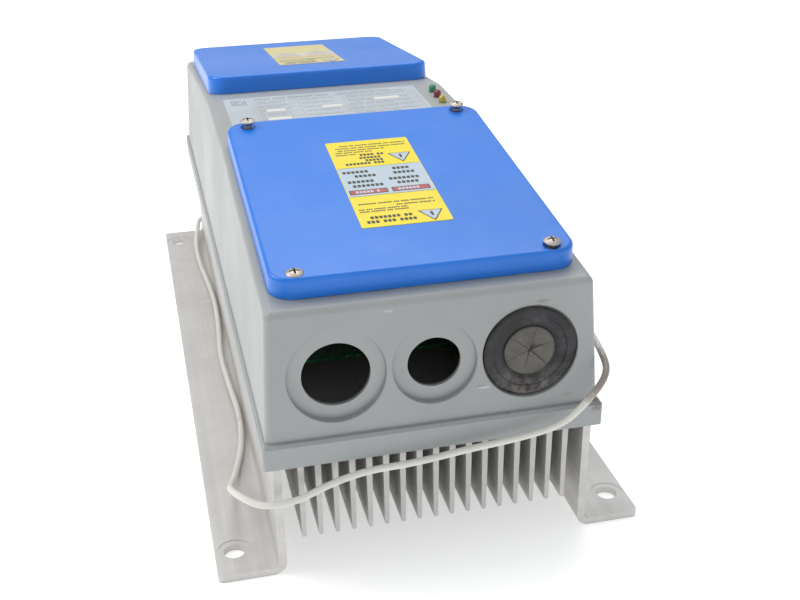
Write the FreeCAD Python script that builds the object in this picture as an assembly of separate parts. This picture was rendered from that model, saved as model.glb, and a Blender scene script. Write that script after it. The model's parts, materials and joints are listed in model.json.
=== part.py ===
"""Wall-mounted variable frequency drive.

A finned aluminium heatsink is screwed between two bent mounting rails.  A one-piece grey
housing stands on it and holds the power and control boards.  Two blue covers close the deck,
three lamps show through it, conduits enter the near end face, and two fans behind the far end
draw air through the fins.

Millimetres.  X runs across the drive, Y along it away from the conduit entries, Z up from the
mounting surface.  The origin is on the mounting surface, at the middle of the housing.
"""
import FreeCAD, Part
import math
import os

os.makedirs("parts", exist_ok=True)

Vec = FreeCAD.Vector
RIGHT = Vec(1, 0, 0)
FAR = Vec(0, 1, 0)
UP = Vec(0, 0, 1)

# ---------------------------------------------------------------- driving dimensions

# housing
housing_width = 182.2            # outside, at the foot of the upper body
housing_length = 522.0           # outside, over the feet of the two end faces
housing_wall = 3.0
end_wall = 6.0                   # the near end face is thicker, for the conduit recesses
draft = 3.4                      # degrees; all four faces of the upper body lean inwards
skirt_proud = 2.2                # how far the skirt stands out at the sides
skirt_end_proud = 3.5            # and at the two ends
plate_clearance = 0.5            # between the ends of the base plate and the skirt
skirt_bottom = 70.0
skirt_top = 84.0
skirt_bevel = 1.5
near_edge_height = 156.0         # height of the near facet, carried on over the foot of its end face
deck_height = 178.2              # deck height of the level middle facet
far_edge_height = 152.0          # height of the far facet, carried on over the foot of its end face
near_crease = 216.0              # distance of the two creases from the near end face
far_crease = 305.0
crease_radius = 60.0
corner_radius = 3.6              # upright corners of the upper body
skirt_corner_radius = skirt_bevel + 0.3     # more than the bevel, which runs round it
deck_edge_radius = 4.5

# heatsink
plate_width = 168.0
plate_thickness = 11.0
plate_top = 81.0
heatsink_length = 490.0
fin_count = 17
fin_pitch = 9.2
fin_root = 3.4
fin_tip = 2.4
fin_tip_height = 22.5            # the fins end this far above the mounting surface

# mounting rails
rail_thickness = 4.4
flange_reach = 37.6              # from the rail's inner face to the flange's outer edge
rail_bend_radius = 7.5           # outside
flange_corner_radius = 3.0
mounting_hole_radius = 6.0
mounting_hole_from_edge = 10.9
mounting_hole_from_end = 20.8
spot_face_radius = 9.6
spot_face_depth = 0.3

# covers
terminal_cover_size = (164.0, 200.6, 11.8)     # across, along the deck, height
terminal_cover_start = 15.1                    # from the near end face
upper_cover_size = (164.6, 177.6, 12.8)
upper_cover_start = 326.2
cover_wall = 2.5
cover_top = 3.0
cover_corner_radius = 13.0
cover_edge_radius = 2.4
cover_draft = 0.4                # how much narrower each side is at the top
lip_height = 5.0                 # collar round each deck opening
lip_wall = 2.5
gasket_width = 6.0
terminal_opening = (116.0, 148.0)
upper_opening = (124.0, 146.0)
cover_gap = 0.2                  # between a cover's rim and the deck

# cover screws
screw_from_side = 13.8           # head centre from the cover's side
near_screw_from_end = 6.9
far_screw_from_end = 9.0
cover_screw_head = 4.6
cover_screw_shank = 2.45
cover_screw_length = 22.0
backed_out = {"near_left": 0.0, "near_right": 2.4, "far_left": 4.0, "far_right": 4.0}

# conduit entries and grommet, on the near end face
entry_height = 118.0
recess_floor = 4.3               # upright floors of the recesses, in from the foot of the end face
entry_land = 2.2                 # wall left between a recess and the flat behind it
large_entry_x = -52.0
large_entry_radius = 18.2
large_recess_radius = 26.2
small_entry_x = 0.0
small_entry_radius = 14.4
small_recess_radius = 22.8
grommet_x = 52.2
grommet_radius = 25.8
grommet_recess_radius = 26.5
grommet_hole_radius = 21.5
grommet_stand_out = 2.3          # above the floor of its recess
membrane_radius = 14.2
membrane_depth = 2.9             # outer face of the membrane, behind the front of the grommet
recess_rim_radius = 0.5

# lamps
lamp_x = 73.5
lamp_distances = {"yellow": 257.5, "red": 271.0, "green": 284.5}
lamp_radius = 2.7
lamp_stand_out = 5.4

# fans
fan_size = 60.0
fan_depth = 25.0
fan_gap = 3.0                    # between the two fans
fan_spacing = fan_size + fan_gap
fan_height = plate_top - plate_thickness - fan_size / 2     # the fans hang just under the base plate
fan_screw_pitch = 50.0
fan_bore_radius = 28.5
blade_count = 7
bracket_thickness = 1.5

# lead
lead_radius = 1.9

running = 0.05                   # radial clearance of screws in their holes
loose = 0.3                      # clearance round parts that only stand near each other

# ---------------------------------------------------------------- derived places

near_face = -housing_length / 2
far_face = housing_length / 2
half_width = housing_width / 2
plate_bottom = plate_top - plate_thickness
rail_inner = plate_width / 2
rail_outer = rail_inner + rail_thickness
flange_edge = rail_inner + flange_reach


def along(distance):
    """Y of a place given by its distance from the near end face."""
    return near_face + distance


def lean_at(height):
    """How far a leaning face of the upper body has moved inwards at a height."""
    return (height - skirt_top) * math.tan(math.radians(draft))


def half_width_at(height):
    """Outer half width of the upper body."""
    return half_width - lean_at(height)


def deck_at(distance):
    """Height of the deck at a distance from the near end face."""
    if distance < near_crease:
        share = distance / near_crease
        return near_edge_height + share * (deck_height - near_edge_height)
    if distance > far_crease:
        share = (distance - far_crease) / (housing_length - far_crease)
        return deck_height + share * (far_edge_height - deck_height)
    return deck_height


near_tilt = math.degrees(math.atan2(deck_height - near_edge_height, near_crease))
far_tilt = math.degrees(math.atan2(far_edge_height - deck_height, housing_length - far_crease))

# ---------------------------------------------------------------- shared helpers


def block(x_range, y_range, z_range):
    """A box between three pairs of limits."""
    corner = Vec(x_range[0], y_range[0], z_range[0])
    return Part.makeBox(x_range[1] - x_range[0], y_range[1] - y_range[0], z_range[1] - z_range[0], corner)


def rod(start, direction, radius, length):
    """A cylinder from a point, along a direction."""
    return Part.makeCylinder(radius, length, start, direction)


def fused(shapes):
    """One clean solid from several that overlap or share faces."""
    shapes = list(shapes)
    return shapes[0].multiFuse(shapes[1:]).removeSplitter()


def unit(vector):
    return Vec(vector).normalize()


def corner_arc(before, corner, after, radius):
    """Start, middle and end of the arc that rounds a corner between two straight runs."""
    to_before = unit(before - corner)
    to_after = unit(after - corner)
    half_angle = to_before.getAngle(to_after) / 2
    reach = radius / math.tan(half_angle)
    centre = corner + unit(to_before + to_after) * (radius / math.sin(half_angle))
    middle = centre + unit(corner - centre) * radius
    return corner + to_before * reach, middle, corner + to_after * reach


def rounded_outline(corners):
    """A flat face inside (point, radius) corners; a radius of 0 leaves the corner sharp."""
    stations = []
    for number, (point, radius) in enumerate(corners):
        before = corners[number - 1][0]
        after = corners[(number + 1) % len(corners)][0]
        if radius:
            stations.append(corner_arc(before, point, after, radius))
        else:
            stations.append((point, None, point))
    edges = []
    for number, (start, middle, end) in enumerate(stations):
        if middle:
            edges.append(Part.Arc(start, middle, end).toShape())
        following = stations[(number + 1) % len(stations)][0]
        if end.distanceToPoint(following) > 1e-6:
            edges.append(Part.LineSegment(end, following).toShape())
    return Part.Face(Part.Wire(edges))


def rounded_rectangle(width, length, radius, height=0.0):
    """A level rounded rectangle centred on the Z axis."""
    half_x = width / 2
    half_y = length / 2
    signs = ((-1, -1), (1, -1), (1, 1), (-1, 1))
    return rounded_outline([(Vec(sx * half_x, sy * half_y, height), radius) for sx, sy in signs])


def tapered_slab(width, length, radius, height, shrink, bottom=0.0):
    """A rounded rectangle that gets narrower by the same amount on every side as it rises."""
    low = rounded_rectangle(width, length, radius, bottom).OuterWire
    high = rounded_rectangle(width - 2 * shrink, length - 2 * shrink, radius - shrink, bottom + height)
    return Part.makeLoft([low, high.OuterWire], True, True)


def rounded_edges(shape, radius, chosen):
    """Fillet the edges for which chosen(edge) is true."""
    return shape.makeFillet(radius, [edge for edge in shape.Edges if chosen(edge)])


def edge_heights(edge):
    return [vertex.Point.z for vertex in edge.Vertexes]


def aimed(shape, position, direction):
    """A copy of a shape made at the origin along +Z, moved and turned to a direction."""
    placed = shape.copy()
    placed.Placement = FreeCAD.Placement(position, FreeCAD.Rotation(UP, direction))
    return placed


def on_deck(shape, distance, tilt):
    """Move a shape made on the level plane at the origin onto a tilted facet of the deck."""
    placed = shape.copy()
    position = Vec(0, along(distance), deck_at(distance))
    placed.Placement = FreeCAD.Placement(position, FreeCAD.Rotation(RIGHT, tilt))
    return placed


def revolved(points):
    """Turn a closed outline of (radius, height) points about the Z axis."""
    outline = [Vec(radius, 0, height) for radius, height in points]
    return Part.Face(Part.makePolygon(outline + [outline[0]])).revolve(Vec(0, 0, 0), UP, 360)


def pan_screw(shank_radius, length):
    """A slotted pan-head screw: underside of the head at the origin, shank towards -Z."""
    head_radius = 2.0 * shank_radius
    head_height = 1.3 * shank_radius
    head = Part.makeCylinder(head_radius, head_height)
    head = rounded_edges(head, 0.35 * head_height, lambda edge: min(edge_heights(edge)) > head_height / 2)
    slot_width = 0.25 * head_radius
    slot = block((-head_radius, head_radius), (-slot_width, slot_width),
                 (0.55 * head_height, head_height + 1))
    shank = rod(Vec(0, 0, -length), UP, shank_radius, length)
    return fused([head.cut(slot), shank])


def save(name, shape):
    """Check a sub-part and write it."""
    solids = shape.Solids
    if not solids or not all(solid.isValid() and solid.isClosed() for solid in solids):
        raise RuntimeError(name + " is not made of closed, valid solids")
    kept = solids[0] if len(solids) == 1 else Part.makeCompound(solids)
    kept.exportStep("parts/" + name + ".step")
    print(name, len(solids), "solid(s),", round(kept.Volume), "mm3")


# ---------------------------------------------------------------- heatsink and rails

rail_screw_distances = (40.0, 176.0, 300.0, 450.0)
rail_screw_height = plate_bottom + plate_thickness / 2
rail_screw_radius = 2.4
rail_screw_length = 16.0
rail_screw_head_radius = 4.4
rail_screw_head_depth = 2.2


def fin(x):
    """One fin, tapering to a rounded tip and rooted in the plate."""
    near = along(0)
    corners = [
        (Vec(x - fin_root / 2, near, plate_bottom + 1), 0),
        (Vec(x - fin_tip / 2, near, fin_tip_height), 0.45 * fin_tip),
        (Vec(x + fin_tip / 2, near, fin_tip_height), 0.45 * fin_tip),
        (Vec(x + fin_root / 2, near, plate_bottom + 1), 0),
    ]
    return rounded_outline(corners).extrude(FAR * heatsink_length)


def plate_holes():
    """Blind holes in the top of the heatsink plate for everything screwed down to it."""
    holes = []
    for x, distance, radius, depth in plate_screw_places():
        start = Vec(x, along(distance), plate_top - depth)
        holes.append(rod(start, UP, radius + running, depth + 1))
    return holes


def heatsink():
    plate = block((-rail_inner, rail_inner), (along(0), along(heatsink_length)), (plate_bottom, plate_top))
    middle = (fin_count - 1) / 2
    fins = [fin((number - middle) * fin_pitch) for number in range(fin_count)]
    body = fused([plate] + fins)
    cuts = plate_holes()
    for side in (-1, 1):
        for distance in rail_screw_distances:
            start = Vec(side * rail_inner, along(distance), rail_screw_height)
            cuts.append(rod(start, RIGHT * -side, rail_screw_radius + running, rail_screw_length))
    for x in bracket_screw_places:
        start = Vec(x, along(heatsink_length), rail_screw_height)
        cuts.append(rod(start, FAR * -1, bracket_screw_radius + running, bracket_screw_length))
    return body.cut(Part.makeCompound(cuts))


def countersink(head_radius, head_depth, shank_radius, through):
    """The space that a flush screw needs, head at the origin, shank towards -Z."""
    cone = Part.makeCone(shank_radius, head_radius, head_depth, Vec(0, 0, -head_depth))
    return fused([cone, rod(Vec(0, 0, -through), UP, shank_radius, through)])


def flush_screw():
    """A countersunk rail screw, face at the origin, shank towards -Z."""
    cone = Part.makeCone(rail_screw_radius, rail_screw_head_radius, rail_screw_head_depth,
                         Vec(0, 0, -rail_screw_head_depth))
    shank = rod(Vec(0, 0, -rail_screw_length), UP, rail_screw_radius, rail_screw_length)
    slot = block((-rail_screw_head_radius, rail_screw_head_radius), (-0.5, 0.5), (-1.0, 1.0))
    return fused([cone, shank]).cut(slot)


def mounting_hole_places():
    """Distances of a rail's two mounting holes from the near end face."""
    return (mounting_hole_from_end, heatsink_length - mounting_hole_from_end)


def mounting_rail(side):
    """A bent plate: its wall is screwed to the heatsink, its flange to the wall behind."""
    near = along(0)
    inner_bend = rail_bend_radius - rail_thickness
    corners = [
        (Vec(side * rail_inner, near, plate_top), 0),
        (Vec(side * rail_inner, near, 0), rail_bend_radius),
        (Vec(side * flange_edge, near, 0), 0),
        (Vec(side * flange_edge, near, rail_thickness), 0),
        (Vec(side * rail_outer, near, rail_thickness), inner_bend),
        (Vec(side * rail_outer, near, plate_top), 0),
    ]
    rail = rounded_outline(corners).extrude(FAR * heatsink_length)

    def is_flange_corner(edge):
        at_edge = all(abs(abs(vertex.Point.x) - flange_edge) < 1e-3 for vertex in edge.Vertexes)
        heights = edge_heights(edge)
        return at_edge and max(heights) - min(heights) > rail_thickness / 2

    rail = rounded_edges(rail, flange_corner_radius, is_flange_corner)
    cuts = []
    hole_x = side * (flange_edge - mounting_hole_from_edge)
    for distance in mounting_hole_places():
        centre = Vec(hole_x, along(distance), 0)
        cuts.append(rod(centre - UP, UP, mounting_hole_radius, rail_thickness + 2))
        face = centre + UP * (rail_thickness - spot_face_depth)
        cuts.append(rod(face, UP, spot_face_radius, 1))
    space = countersink(rail_screw_head_radius + running, rail_screw_head_depth + running,
                        rail_screw_radius + running, rail_thickness + 1)
    for distance in rail_screw_distances:
        place = Vec(side * rail_outer, along(distance), rail_screw_height)
        cuts.append(aimed(space, place, RIGHT * side))
    return rail.cut(Part.makeCompound(cuts))


def rail_screws():
    screw = flush_screw()
    placed = []
    for side in (-1, 1):
        for distance in rail_screw_distances:
            place = Vec(side * rail_outer, along(distance), rail_screw_height)
            placed.append(aimed(screw, place, RIGHT * side))
    return Part.makeCompound(placed)


# ---------------------------------------------------------------- housing

lug_size = (17.0, 14.0, 4.0)
lug_distances = (34.0, 470.0)
lug_screw_radius = 2.0
lug_screw_length = 12.0
boss_radius = 6.0
boss_depth = 20.0
tongue_size = (14.0, 1.8, 9.0)
tongue_from_middle = 68.0


def end_meets_deck(inset, drop, edge_height, tilt):
    """Where a leaning end face meets its facet: distance in from the foot, and height."""
    rise = math.tan(math.radians(abs(tilt)))
    lean = math.tan(math.radians(draft))
    height = (edge_height - drop + rise * (inset - skirt_top * lean)) / (1 - rise * lean)
    return inset + lean_at(height), height


def upper_block(inset, near_inset, bottom):
    """The drafted upper body under its three deck facets, made smaller by an inset all round."""
    drop = inset / math.cos(math.radians(far_tilt))
    near_in, near_height = end_meets_deck(near_inset, drop, near_edge_height, near_tilt)
    far_in, far_height = end_meets_deck(inset, drop, far_edge_height, far_tilt)
    x_start = Vec(-housing_width, 0, 0)
    side_view = [
        (Vec(0, along(near_inset + lean_at(bottom)), bottom), 0),
        (Vec(0, along(near_in), near_height), 0),
        (Vec(0, along(near_crease), deck_height - drop), crease_radius),
        (Vec(0, along(far_crease), deck_height - drop), crease_radius),
        (Vec(0, along(housing_length - far_in), far_height), 0),
        (Vec(0, along(housing_length - inset - lean_at(bottom)), bottom), 0),
    ]
    side = rounded_outline([(point + x_start, radius) for point, radius in side_view])
    lengthwise = side.extrude(RIGHT * (2 * housing_width))
    top = deck_height + 10
    low = half_width_at(bottom) - inset
    high = half_width_at(top) - inset
    end_view = [Vec(-low, 0, bottom), Vec(low, 0, bottom), Vec(high, 0, top), Vec(-high, 0, top)]
    crosswise = Part.Face(Part.makePolygon(end_view + end_view[:1]))
    crosswise.translate(FAR * -housing_length)
    crosswise = crosswise.extrude(FAR * (2 * housing_length))
    return lengthwise.common(crosswise)


def is_upright(edge):
    """True for the four long corner edges of the upper body."""
    heights = edge_heights(edge)
    return max(heights) - min(heights) > (near_edge_height - skirt_top) / 2


def housing_outside():
    body = upper_block(0.0, 0.0, skirt_top - 1.0)

    def is_deck_rim(edge):
        if min(edge_heights(edge)) < min(near_edge_height, far_edge_height) - 8:
            return False
        middle = edge.valueAt((edge.FirstParameter + edge.LastParameter) / 2)
        return abs(middle.x) > 5 or middle.y < along(12) or middle.y > along(housing_length - 12)

    body = rounded_edges(body, deck_edge_radius, is_deck_rim)
    body = rounded_edges(body, corner_radius, is_upright)
    skirt = rounded_rectangle(housing_width + 2 * skirt_proud, housing_length + 2 * skirt_end_proud,
                              skirt_corner_radius, skirt_bottom)
    skirt = skirt.extrude(UP * (skirt_top - skirt_bottom))
    top_edges = [edge for edge in skirt.Edges if min(edge_heights(edge)) > skirt_top - 0.01]
    skirt = skirt.makeChamfer(skirt_bevel, top_edges)
    return fused([body, skirt])


def end_face_cylinder(x, radius, start, length):
    """A cylinder through the near end face, starting a distance behind it."""
    return rod(Vec(x, along(start), entry_height), FAR, radius, length)


def screw_places(size, distance):
    """Deck-plane positions of the terminal cover's screws, by name."""
    side_x = size[0] / 2 - screw_from_side
    near_y = -size[1] / 2 + near_screw_from_end
    far_y = size[1] / 2 - far_screw_from_end
    return {
        "near_left": Vec(-side_x, near_y, 0),
        "near_right": Vec(side_x, near_y, 0),
        "far_left": Vec(-side_x, far_y, 0),
        "far_right": Vec(side_x, far_y, 0),
    }


def cover_middle(start, size, tilt):
    """Distance of a cover's middle from the near end face."""
    return start + size[1] / 2 * math.cos(math.radians(tilt))


terminal_middle = cover_middle(terminal_cover_start, terminal_cover_size, near_tilt)
upper_middle = cover_middle(upper_cover_start, upper_cover_size, far_tilt)


def opening_cut(opening):
    return rounded_rectangle(opening[0], opening[1], 6.0, -15.0).extrude(UP * 40)


def opening_lip(opening):
    """The collar that keeps water out of a deck opening, rooted in the deck."""
    outer = rounded_rectangle(opening[0] + 2 * lip_wall, opening[1] + 2 * lip_wall, 6.0 + lip_wall, -2.0)
    return outer.extrude(UP * (lip_height + 2.0))


def tongue_slots():
    """Slots in the far facet for the upper cover's locating tongues."""
    slots = []
    for x, y in tongue_places():
        slots.append(block((x - tongue_size[1] / 2 - loose, x + tongue_size[1] / 2 + loose),
                           (y - tongue_size[0] / 2 - loose, y + tongue_size[0] / 2 + loose), (-15, 5)))
    return slots


def tongue_places():
    """Middles of the four tongues in the upper cover's own plane."""
    x = upper_cover_size[0] / 2 - 5.0
    y = tongue_from_middle / 2
    return [(-x, -y), (x, -y), (-x, y), (x, y)]


def lamp_post_distances():
    middle = lamp_distances["red"]
    reach = lamp_board_size[1] / 2 - 4.0
    return (middle - reach, middle + reach)


def lead_elbow():
    """Where the boot of the strain relief turns towards the lead's first run."""
    exit_point, following = lead_points()[:2]
    return exit_point - unit(following - exit_point) * boot_length


def lead_wall_point():
    """Where the strain relief passes the right side wall, and the wall's normal."""
    normal = Vec(math.cos(math.radians(draft)), 0, math.sin(math.radians(draft)))
    elbow = lead_elbow()
    on_wall = Vec(half_width_at(elbow.z), elbow.y, elbow.z)
    return elbow - normal * (elbow - on_wall).dot(normal), normal


def housing():
    inside = rounded_edges(upper_block(housing_wall, end_wall, plate_top), corner_radius, is_upright)
    half_x = half_width + skirt_proud - housing_wall
    half_y = housing_length / 2 + plate_clearance
    skirt_inside = block((-half_x, half_x), (-half_y, half_y), (skirt_bottom - 1, plate_top))
    body = housing_outside().cut(fused([inside, skirt_inside]))

    additions = [on_deck(opening_lip(terminal_opening), terminal_middle, near_tilt),
                 on_deck(opening_lip(upper_opening), upper_middle, far_tilt)]
    for place in screw_places(terminal_cover_size, terminal_middle).values():
        boss = rod(place - UP * boss_depth, UP, boss_radius, boss_depth - housing_wall / 2)
        additions.append(on_deck(boss, terminal_middle, near_tilt))
    for distance in lug_distances:
        for side in (-1, 1):
            wall_x = half_width_at(plate_top) - housing_wall + 1.0
            inner_x = wall_x - lug_size[0]
            additions.append(block(sorted((side * inner_x, side * wall_x)),
                                   (along(distance) - lug_size[1] / 2, along(distance) + lug_size[1] / 2),
                                   (plate_top, plate_top + lug_size[2])))
    for distance in lamp_post_distances():
        post_bottom = lamp_board_height + lamp_board_size[2]
        post = rod(Vec(lamp_x, along(distance), post_bottom), UP, 3.2,
                   deck_height - housing_wall / 2 - post_bottom)
        additions.append(post)
    body = fused([body] + additions)

    cuts = [on_deck(opening_cut(terminal_opening), terminal_middle, near_tilt),
            on_deck(opening_cut(upper_opening), upper_middle, far_tilt)]
    cuts += [on_deck(slot, upper_middle, far_tilt) for slot in tongue_slots()]
    for place in screw_places(terminal_cover_size, terminal_middle).values():
        hole = rod(place - UP * (boss_depth - 3), UP, cover_screw_shank + running, boss_depth + 5)
        cuts.append(on_deck(hole, terminal_middle, near_tilt))
    for x, distance, radius, depth in lug_screw_places():
        cuts.append(rod(Vec(x, along(distance), plate_top - 1), UP, radius + running, lug_size[2] + 2))
    for distance in lamp_distances.values():
        cuts.append(rod(Vec(lamp_x, along(distance), deck_height - 10), UP, lamp_radius + 0.15, 20))
    for distance in lamp_post_distances():
        hole_bottom = Vec(lamp_x, along(distance), lamp_board_height)
        cuts.append(rod(hole_bottom, UP, lamp_screw_radius + running, lamp_screw_length + 0.5))
    recesses = ((large_entry_x, large_entry_radius, large_recess_radius),
                (small_entry_x, small_entry_radius, small_recess_radius),
                (grommet_x, grommet_hole_radius, grommet_recess_radius))
    for x, hole_radius, recess_radius in recesses:
        cuts.append(end_face_cylinder(x, hole_radius, 0, 3 * end_wall))
        cuts.append(end_face_cylinder(x, recess_radius, 0, recess_floor))
        cuts.append(end_face_cylinder(x, recess_radius - 2, recess_floor + entry_land, end_wall))
    wall_point, normal = lead_wall_point()
    cuts.append(rod(wall_point - normal * 10, normal, relief_neck_radius + running, 20))
    body = body.cut(Part.makeCompound(cuts))

    def is_recess_rim(edge):
        """The slanting closed edges where the recesses break through the leaning end face."""
        box = edge.BoundBox
        if abs(box.Center.z - entry_height) > 1 or box.YMax > along(recess_floor - 0.01):
            return False
        return small_recess_radius < box.XLength < 3 * large_recess_radius

    return rounded_edges(body, recess_rim_radius, is_recess_rim)


def lug_screw_places():
    """(x, distance, shank radius, depth in the plate) of the screws that hold the housing down."""
    x = half_width_at(plate_top) - housing_wall - lug_size[0] / 2
    depth = lug_screw_length - lug_size[2]
    return [(side * x, distance, lug_screw_radius, depth + 1)
            for distance in lug_distances for side in (-1, 1)]


def housing_screws():
    screw = pan_screw(lug_screw_radius, lug_screw_length)
    top = plate_top + lug_size[2]
    placed = [aimed(screw, Vec(x, along(distance), top), UP) for x, distance, _, _ in lug_screw_places()]
    return Part.makeCompound(placed)


# ---------------------------------------------------------------- covers


def cover_shell(size):
    """A dished lid on the level plane: open below, with soft top edges."""
    width, length, height = size
    outside = tapered_slab(width, length, cover_corner_radius, height - cover_gap, cover_draft, cover_gap)
    top = height - 0.01
    outside = rounded_edges(outside, cover_edge_radius, lambda edge: min(edge_heights(edge)) > top)
    inside = tapered_slab(width - 2 * cover_wall, length - 2 * cover_wall, cover_corner_radius - cover_wall,
                          height - cover_top + 1, cover_draft, -1.0)
    return outside.cut(inside)


def gasket(opening, height):
    """The foam strip inside a cover that closes on the collar round the opening."""
    across = (opening[0] + lip_wall, opening[1] + lip_wall)
    bottom = lip_height + 0.05
    outer = rounded_rectangle(across[0] + gasket_width, across[1] + gasket_width, 10.0, bottom)
    inner = rounded_rectangle(across[0] - gasket_width, across[1] - gasket_width, 4.0, bottom)
    thickness = height - cover_top - bottom
    return outer.extrude(UP * thickness).cut(inner.extrude(UP * thickness))


def seated_head_height():
    """Height of the rim of a seated screw head above the deck."""
    return terminal_cover_size[2] + 0.1


def terminal_cover():
    shell = cover_shell(terminal_cover_size)
    height = terminal_cover_size[2]
    places = screw_places(terminal_cover_size, terminal_middle).values()
    pillars = [rod(Vec(place.x, place.y, cover_gap), UP, 6.0, height - cover_gap - 1.5) for place in places]
    inside_limit = tapered_slab(terminal_cover_size[0] - 1, terminal_cover_size[1] - 1,
                                cover_corner_radius - 0.5, height, cover_draft)
    shell = fused([shell] + [pillar.common(inside_limit) for pillar in pillars])
    head_space = countersink(cover_screw_head + 0.25, 2.6, cover_screw_shank + loose, 20)
    cuts = [aimed(head_space, Vec(place.x, place.y, height), UP) for place in places]
    return on_deck(shell.cut(Part.makeCompound(cuts)), terminal_middle, near_tilt)


def cover_screw():
    """Raised countersunk cross-head screw: rim of the head at the origin, shank towards -Z."""
    rim = 0.4
    cone_depth = 2.4
    dome_height = 1.5
    dome_radius = (cover_screw_head ** 2 + dome_height ** 2) / (2 * dome_height)
    dome = Part.makeSphere(dome_radius, Vec(0, 0, dome_height - dome_radius))
    dome = dome.common(rod(Vec(0, 0, 0), UP, cover_screw_head, dome_height + 1))
    edge = rod(Vec(0, 0, -rim), UP, cover_screw_head, rim)
    cone = Part.makeCone(cover_screw_shank, cover_screw_head, cone_depth, Vec(0, 0, -rim - cone_depth))
    shank = rod(Vec(0, 0, -cover_screw_length), UP, cover_screw_shank, cover_screw_length)
    tip = rounded_edges(shank, 0.8, lambda e: max(edge_heights(e)) < -cover_screw_length / 2)
    body = fused([dome, edge, cone, tip])
    arm_reach = 2.7
    arm_half_width = 0.55
    recess = (-0.9, dome_height + 1)
    arms = [block((-arm_reach, arm_reach), (-arm_half_width, arm_half_width), recess),
            block((-arm_half_width, arm_half_width), (-arm_reach, arm_reach), recess)]
    return body.cut(fused(arms))


def upper_cover():
    shell = cover_shell(upper_cover_size)
    width, thickness, depth = tongue_size
    tongues = []
    for x, y in tongue_places():
        tongue = block((x - thickness / 2, x + thickness / 2), (y - width / 2, y + width / 2),
                       (-depth, upper_cover_size[2] - cover_top + 0.5))
        tongues.append(tongue)
    return on_deck(fused([shell] + tongues), upper_middle, far_tilt)


# ---------------------------------------------------------------- labels

label_thickness = 0.25
label_x = 1.6                    # both cover labels sit a little to the right
terminal_label_size = (51.0, 111.0)
terminal_label_start = 47.0      # from the terminal cover's near edge, along the deck
upper_label_size = (50.0, 106.0)
upper_label_start = 34.0
rating_plate_x = (-75.0, 63.5)
rating_plate_distances = (222.0, 303.0)


def label(width, length, height):
    return rounded_rectangle(width, length, 1.2, height).extrude(UP * label_thickness)


def terminal_cover_label():
    width, length = terminal_label_size
    middle_y = -terminal_cover_size[1] / 2 + terminal_label_start + length / 2
    sheet = label(width, length, terminal_cover_size[2])
    sheet.translate(Vec(label_x, middle_y, 0))
    return on_deck(sheet, terminal_middle, near_tilt)


def upper_cover_label():
    width, length = upper_label_size
    middle_y = -upper_cover_size[1] / 2 + upper_label_start + length / 2
    sheet = label(width, length, upper_cover_size[2])
    sheet.translate(Vec(label_x, middle_y, 0))
    return on_deck(sheet, upper_middle, far_tilt)


def rating_plate():
    width = rating_plate_x[1] - rating_plate_x[0]
    length = rating_plate_distances[1] - rating_plate_distances[0]
    sheet = label(width, length, deck_height)
    sheet.translate(Vec(sum(rating_plate_x) / 2, along(sum(rating_plate_distances) / 2), 0))
    return sheet


# ---------------------------------------------------------------- lamps

lamp_board_size = (14.0, 54.0, 1.6)
lamp_board_height = 164.0
lamp_screw_radius = 1.2
lamp_screw_length = 8.0


def lamp(distance):
    """A domed lens on its own light guide, standing on the lamp board."""
    foot = lamp_board_height + lamp_board_size[2]
    dome_centre = deck_height + lamp_stand_out - lamp_radius
    centre = Vec(lamp_x, along(distance), foot)
    guide = rod(centre, UP, lamp_radius, dome_centre - foot)
    dome = Part.makeSphere(lamp_radius, Vec(lamp_x, along(distance), dome_centre))
    collar = rod(centre, UP, lamp_radius + 0.7, 1.2)
    return fused([guide, dome, collar])


def lamp_board():
    width, length, thickness = lamp_board_size
    middle = along(lamp_distances["red"])
    board = block((lamp_x - width / 2, lamp_x + width / 2), (middle - length / 2, middle + length / 2),
                  (lamp_board_height, lamp_board_height + thickness))
    holes = [rod(Vec(lamp_x, along(distance), lamp_board_height - 1), UP, lamp_screw_radius + running, 4)
             for distance in lamp_post_distances()]
    return board.cut(Part.makeCompound(holes))


def lamp_board_screws():
    screw = pan_screw(lamp_screw_radius, lamp_screw_length)
    places = [Vec(lamp_x, along(distance), lamp_board_height) for distance in lamp_post_distances()]
    return Part.makeCompound([aimed(screw, place, UP * -1) for place in places])


# ---------------------------------------------------------------- grommet


def at_grommet(shape):
    """Place a shape made along +Z so that +Z points out of the near end face."""
    return aimed(shape, Vec(grommet_x, near_face, entry_height), FAR * -1)


def cable_grommet():
    """A stepped rubber ring that grips the end wall between its recess and the flat behind it."""
    floor = -recess_floor + running
    front = floor + grommet_stand_out
    back = -recess_floor - entry_land - running
    neck = grommet_hole_radius - running
    step = grommet_radius - 5.6
    bore = membrane_radius + running
    lip = neck + 2.2
    outline = [
        (grommet_radius, floor), (grommet_radius, front - 0.7), (grommet_radius - 0.9, front),
        (step + 0.4, front), (step, front - 0.7), (bore + 2.2, front - 0.9), (bore, front - 2.4),
        (bore, back - 2.2), (lip, back - 2.2), (lip, back), (neck, back), (neck, floor),
    ]
    return at_grommet(revolved(outline))


def grommet_membrane():
    """The thin disc across the grommet, slit so that a cable can push through."""
    depth = grommet_stand_out - recess_floor - membrane_depth
    disc = rod(Vec(0, 0, depth), UP, membrane_radius, 1.0)
    slits = []
    for number in range(6):
        slit = block((2.0, membrane_radius - 1.2), (-0.2, 0.2), (depth - 1, depth + 3))
        slit.rotate(Vec(0, 0, 0), UP, 60 * number + 18)
        slits.append(slit)
    return at_grommet(disc.cut(Part.makeCompound(slits)))


# ---------------------------------------------------------------- power electronics

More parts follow.
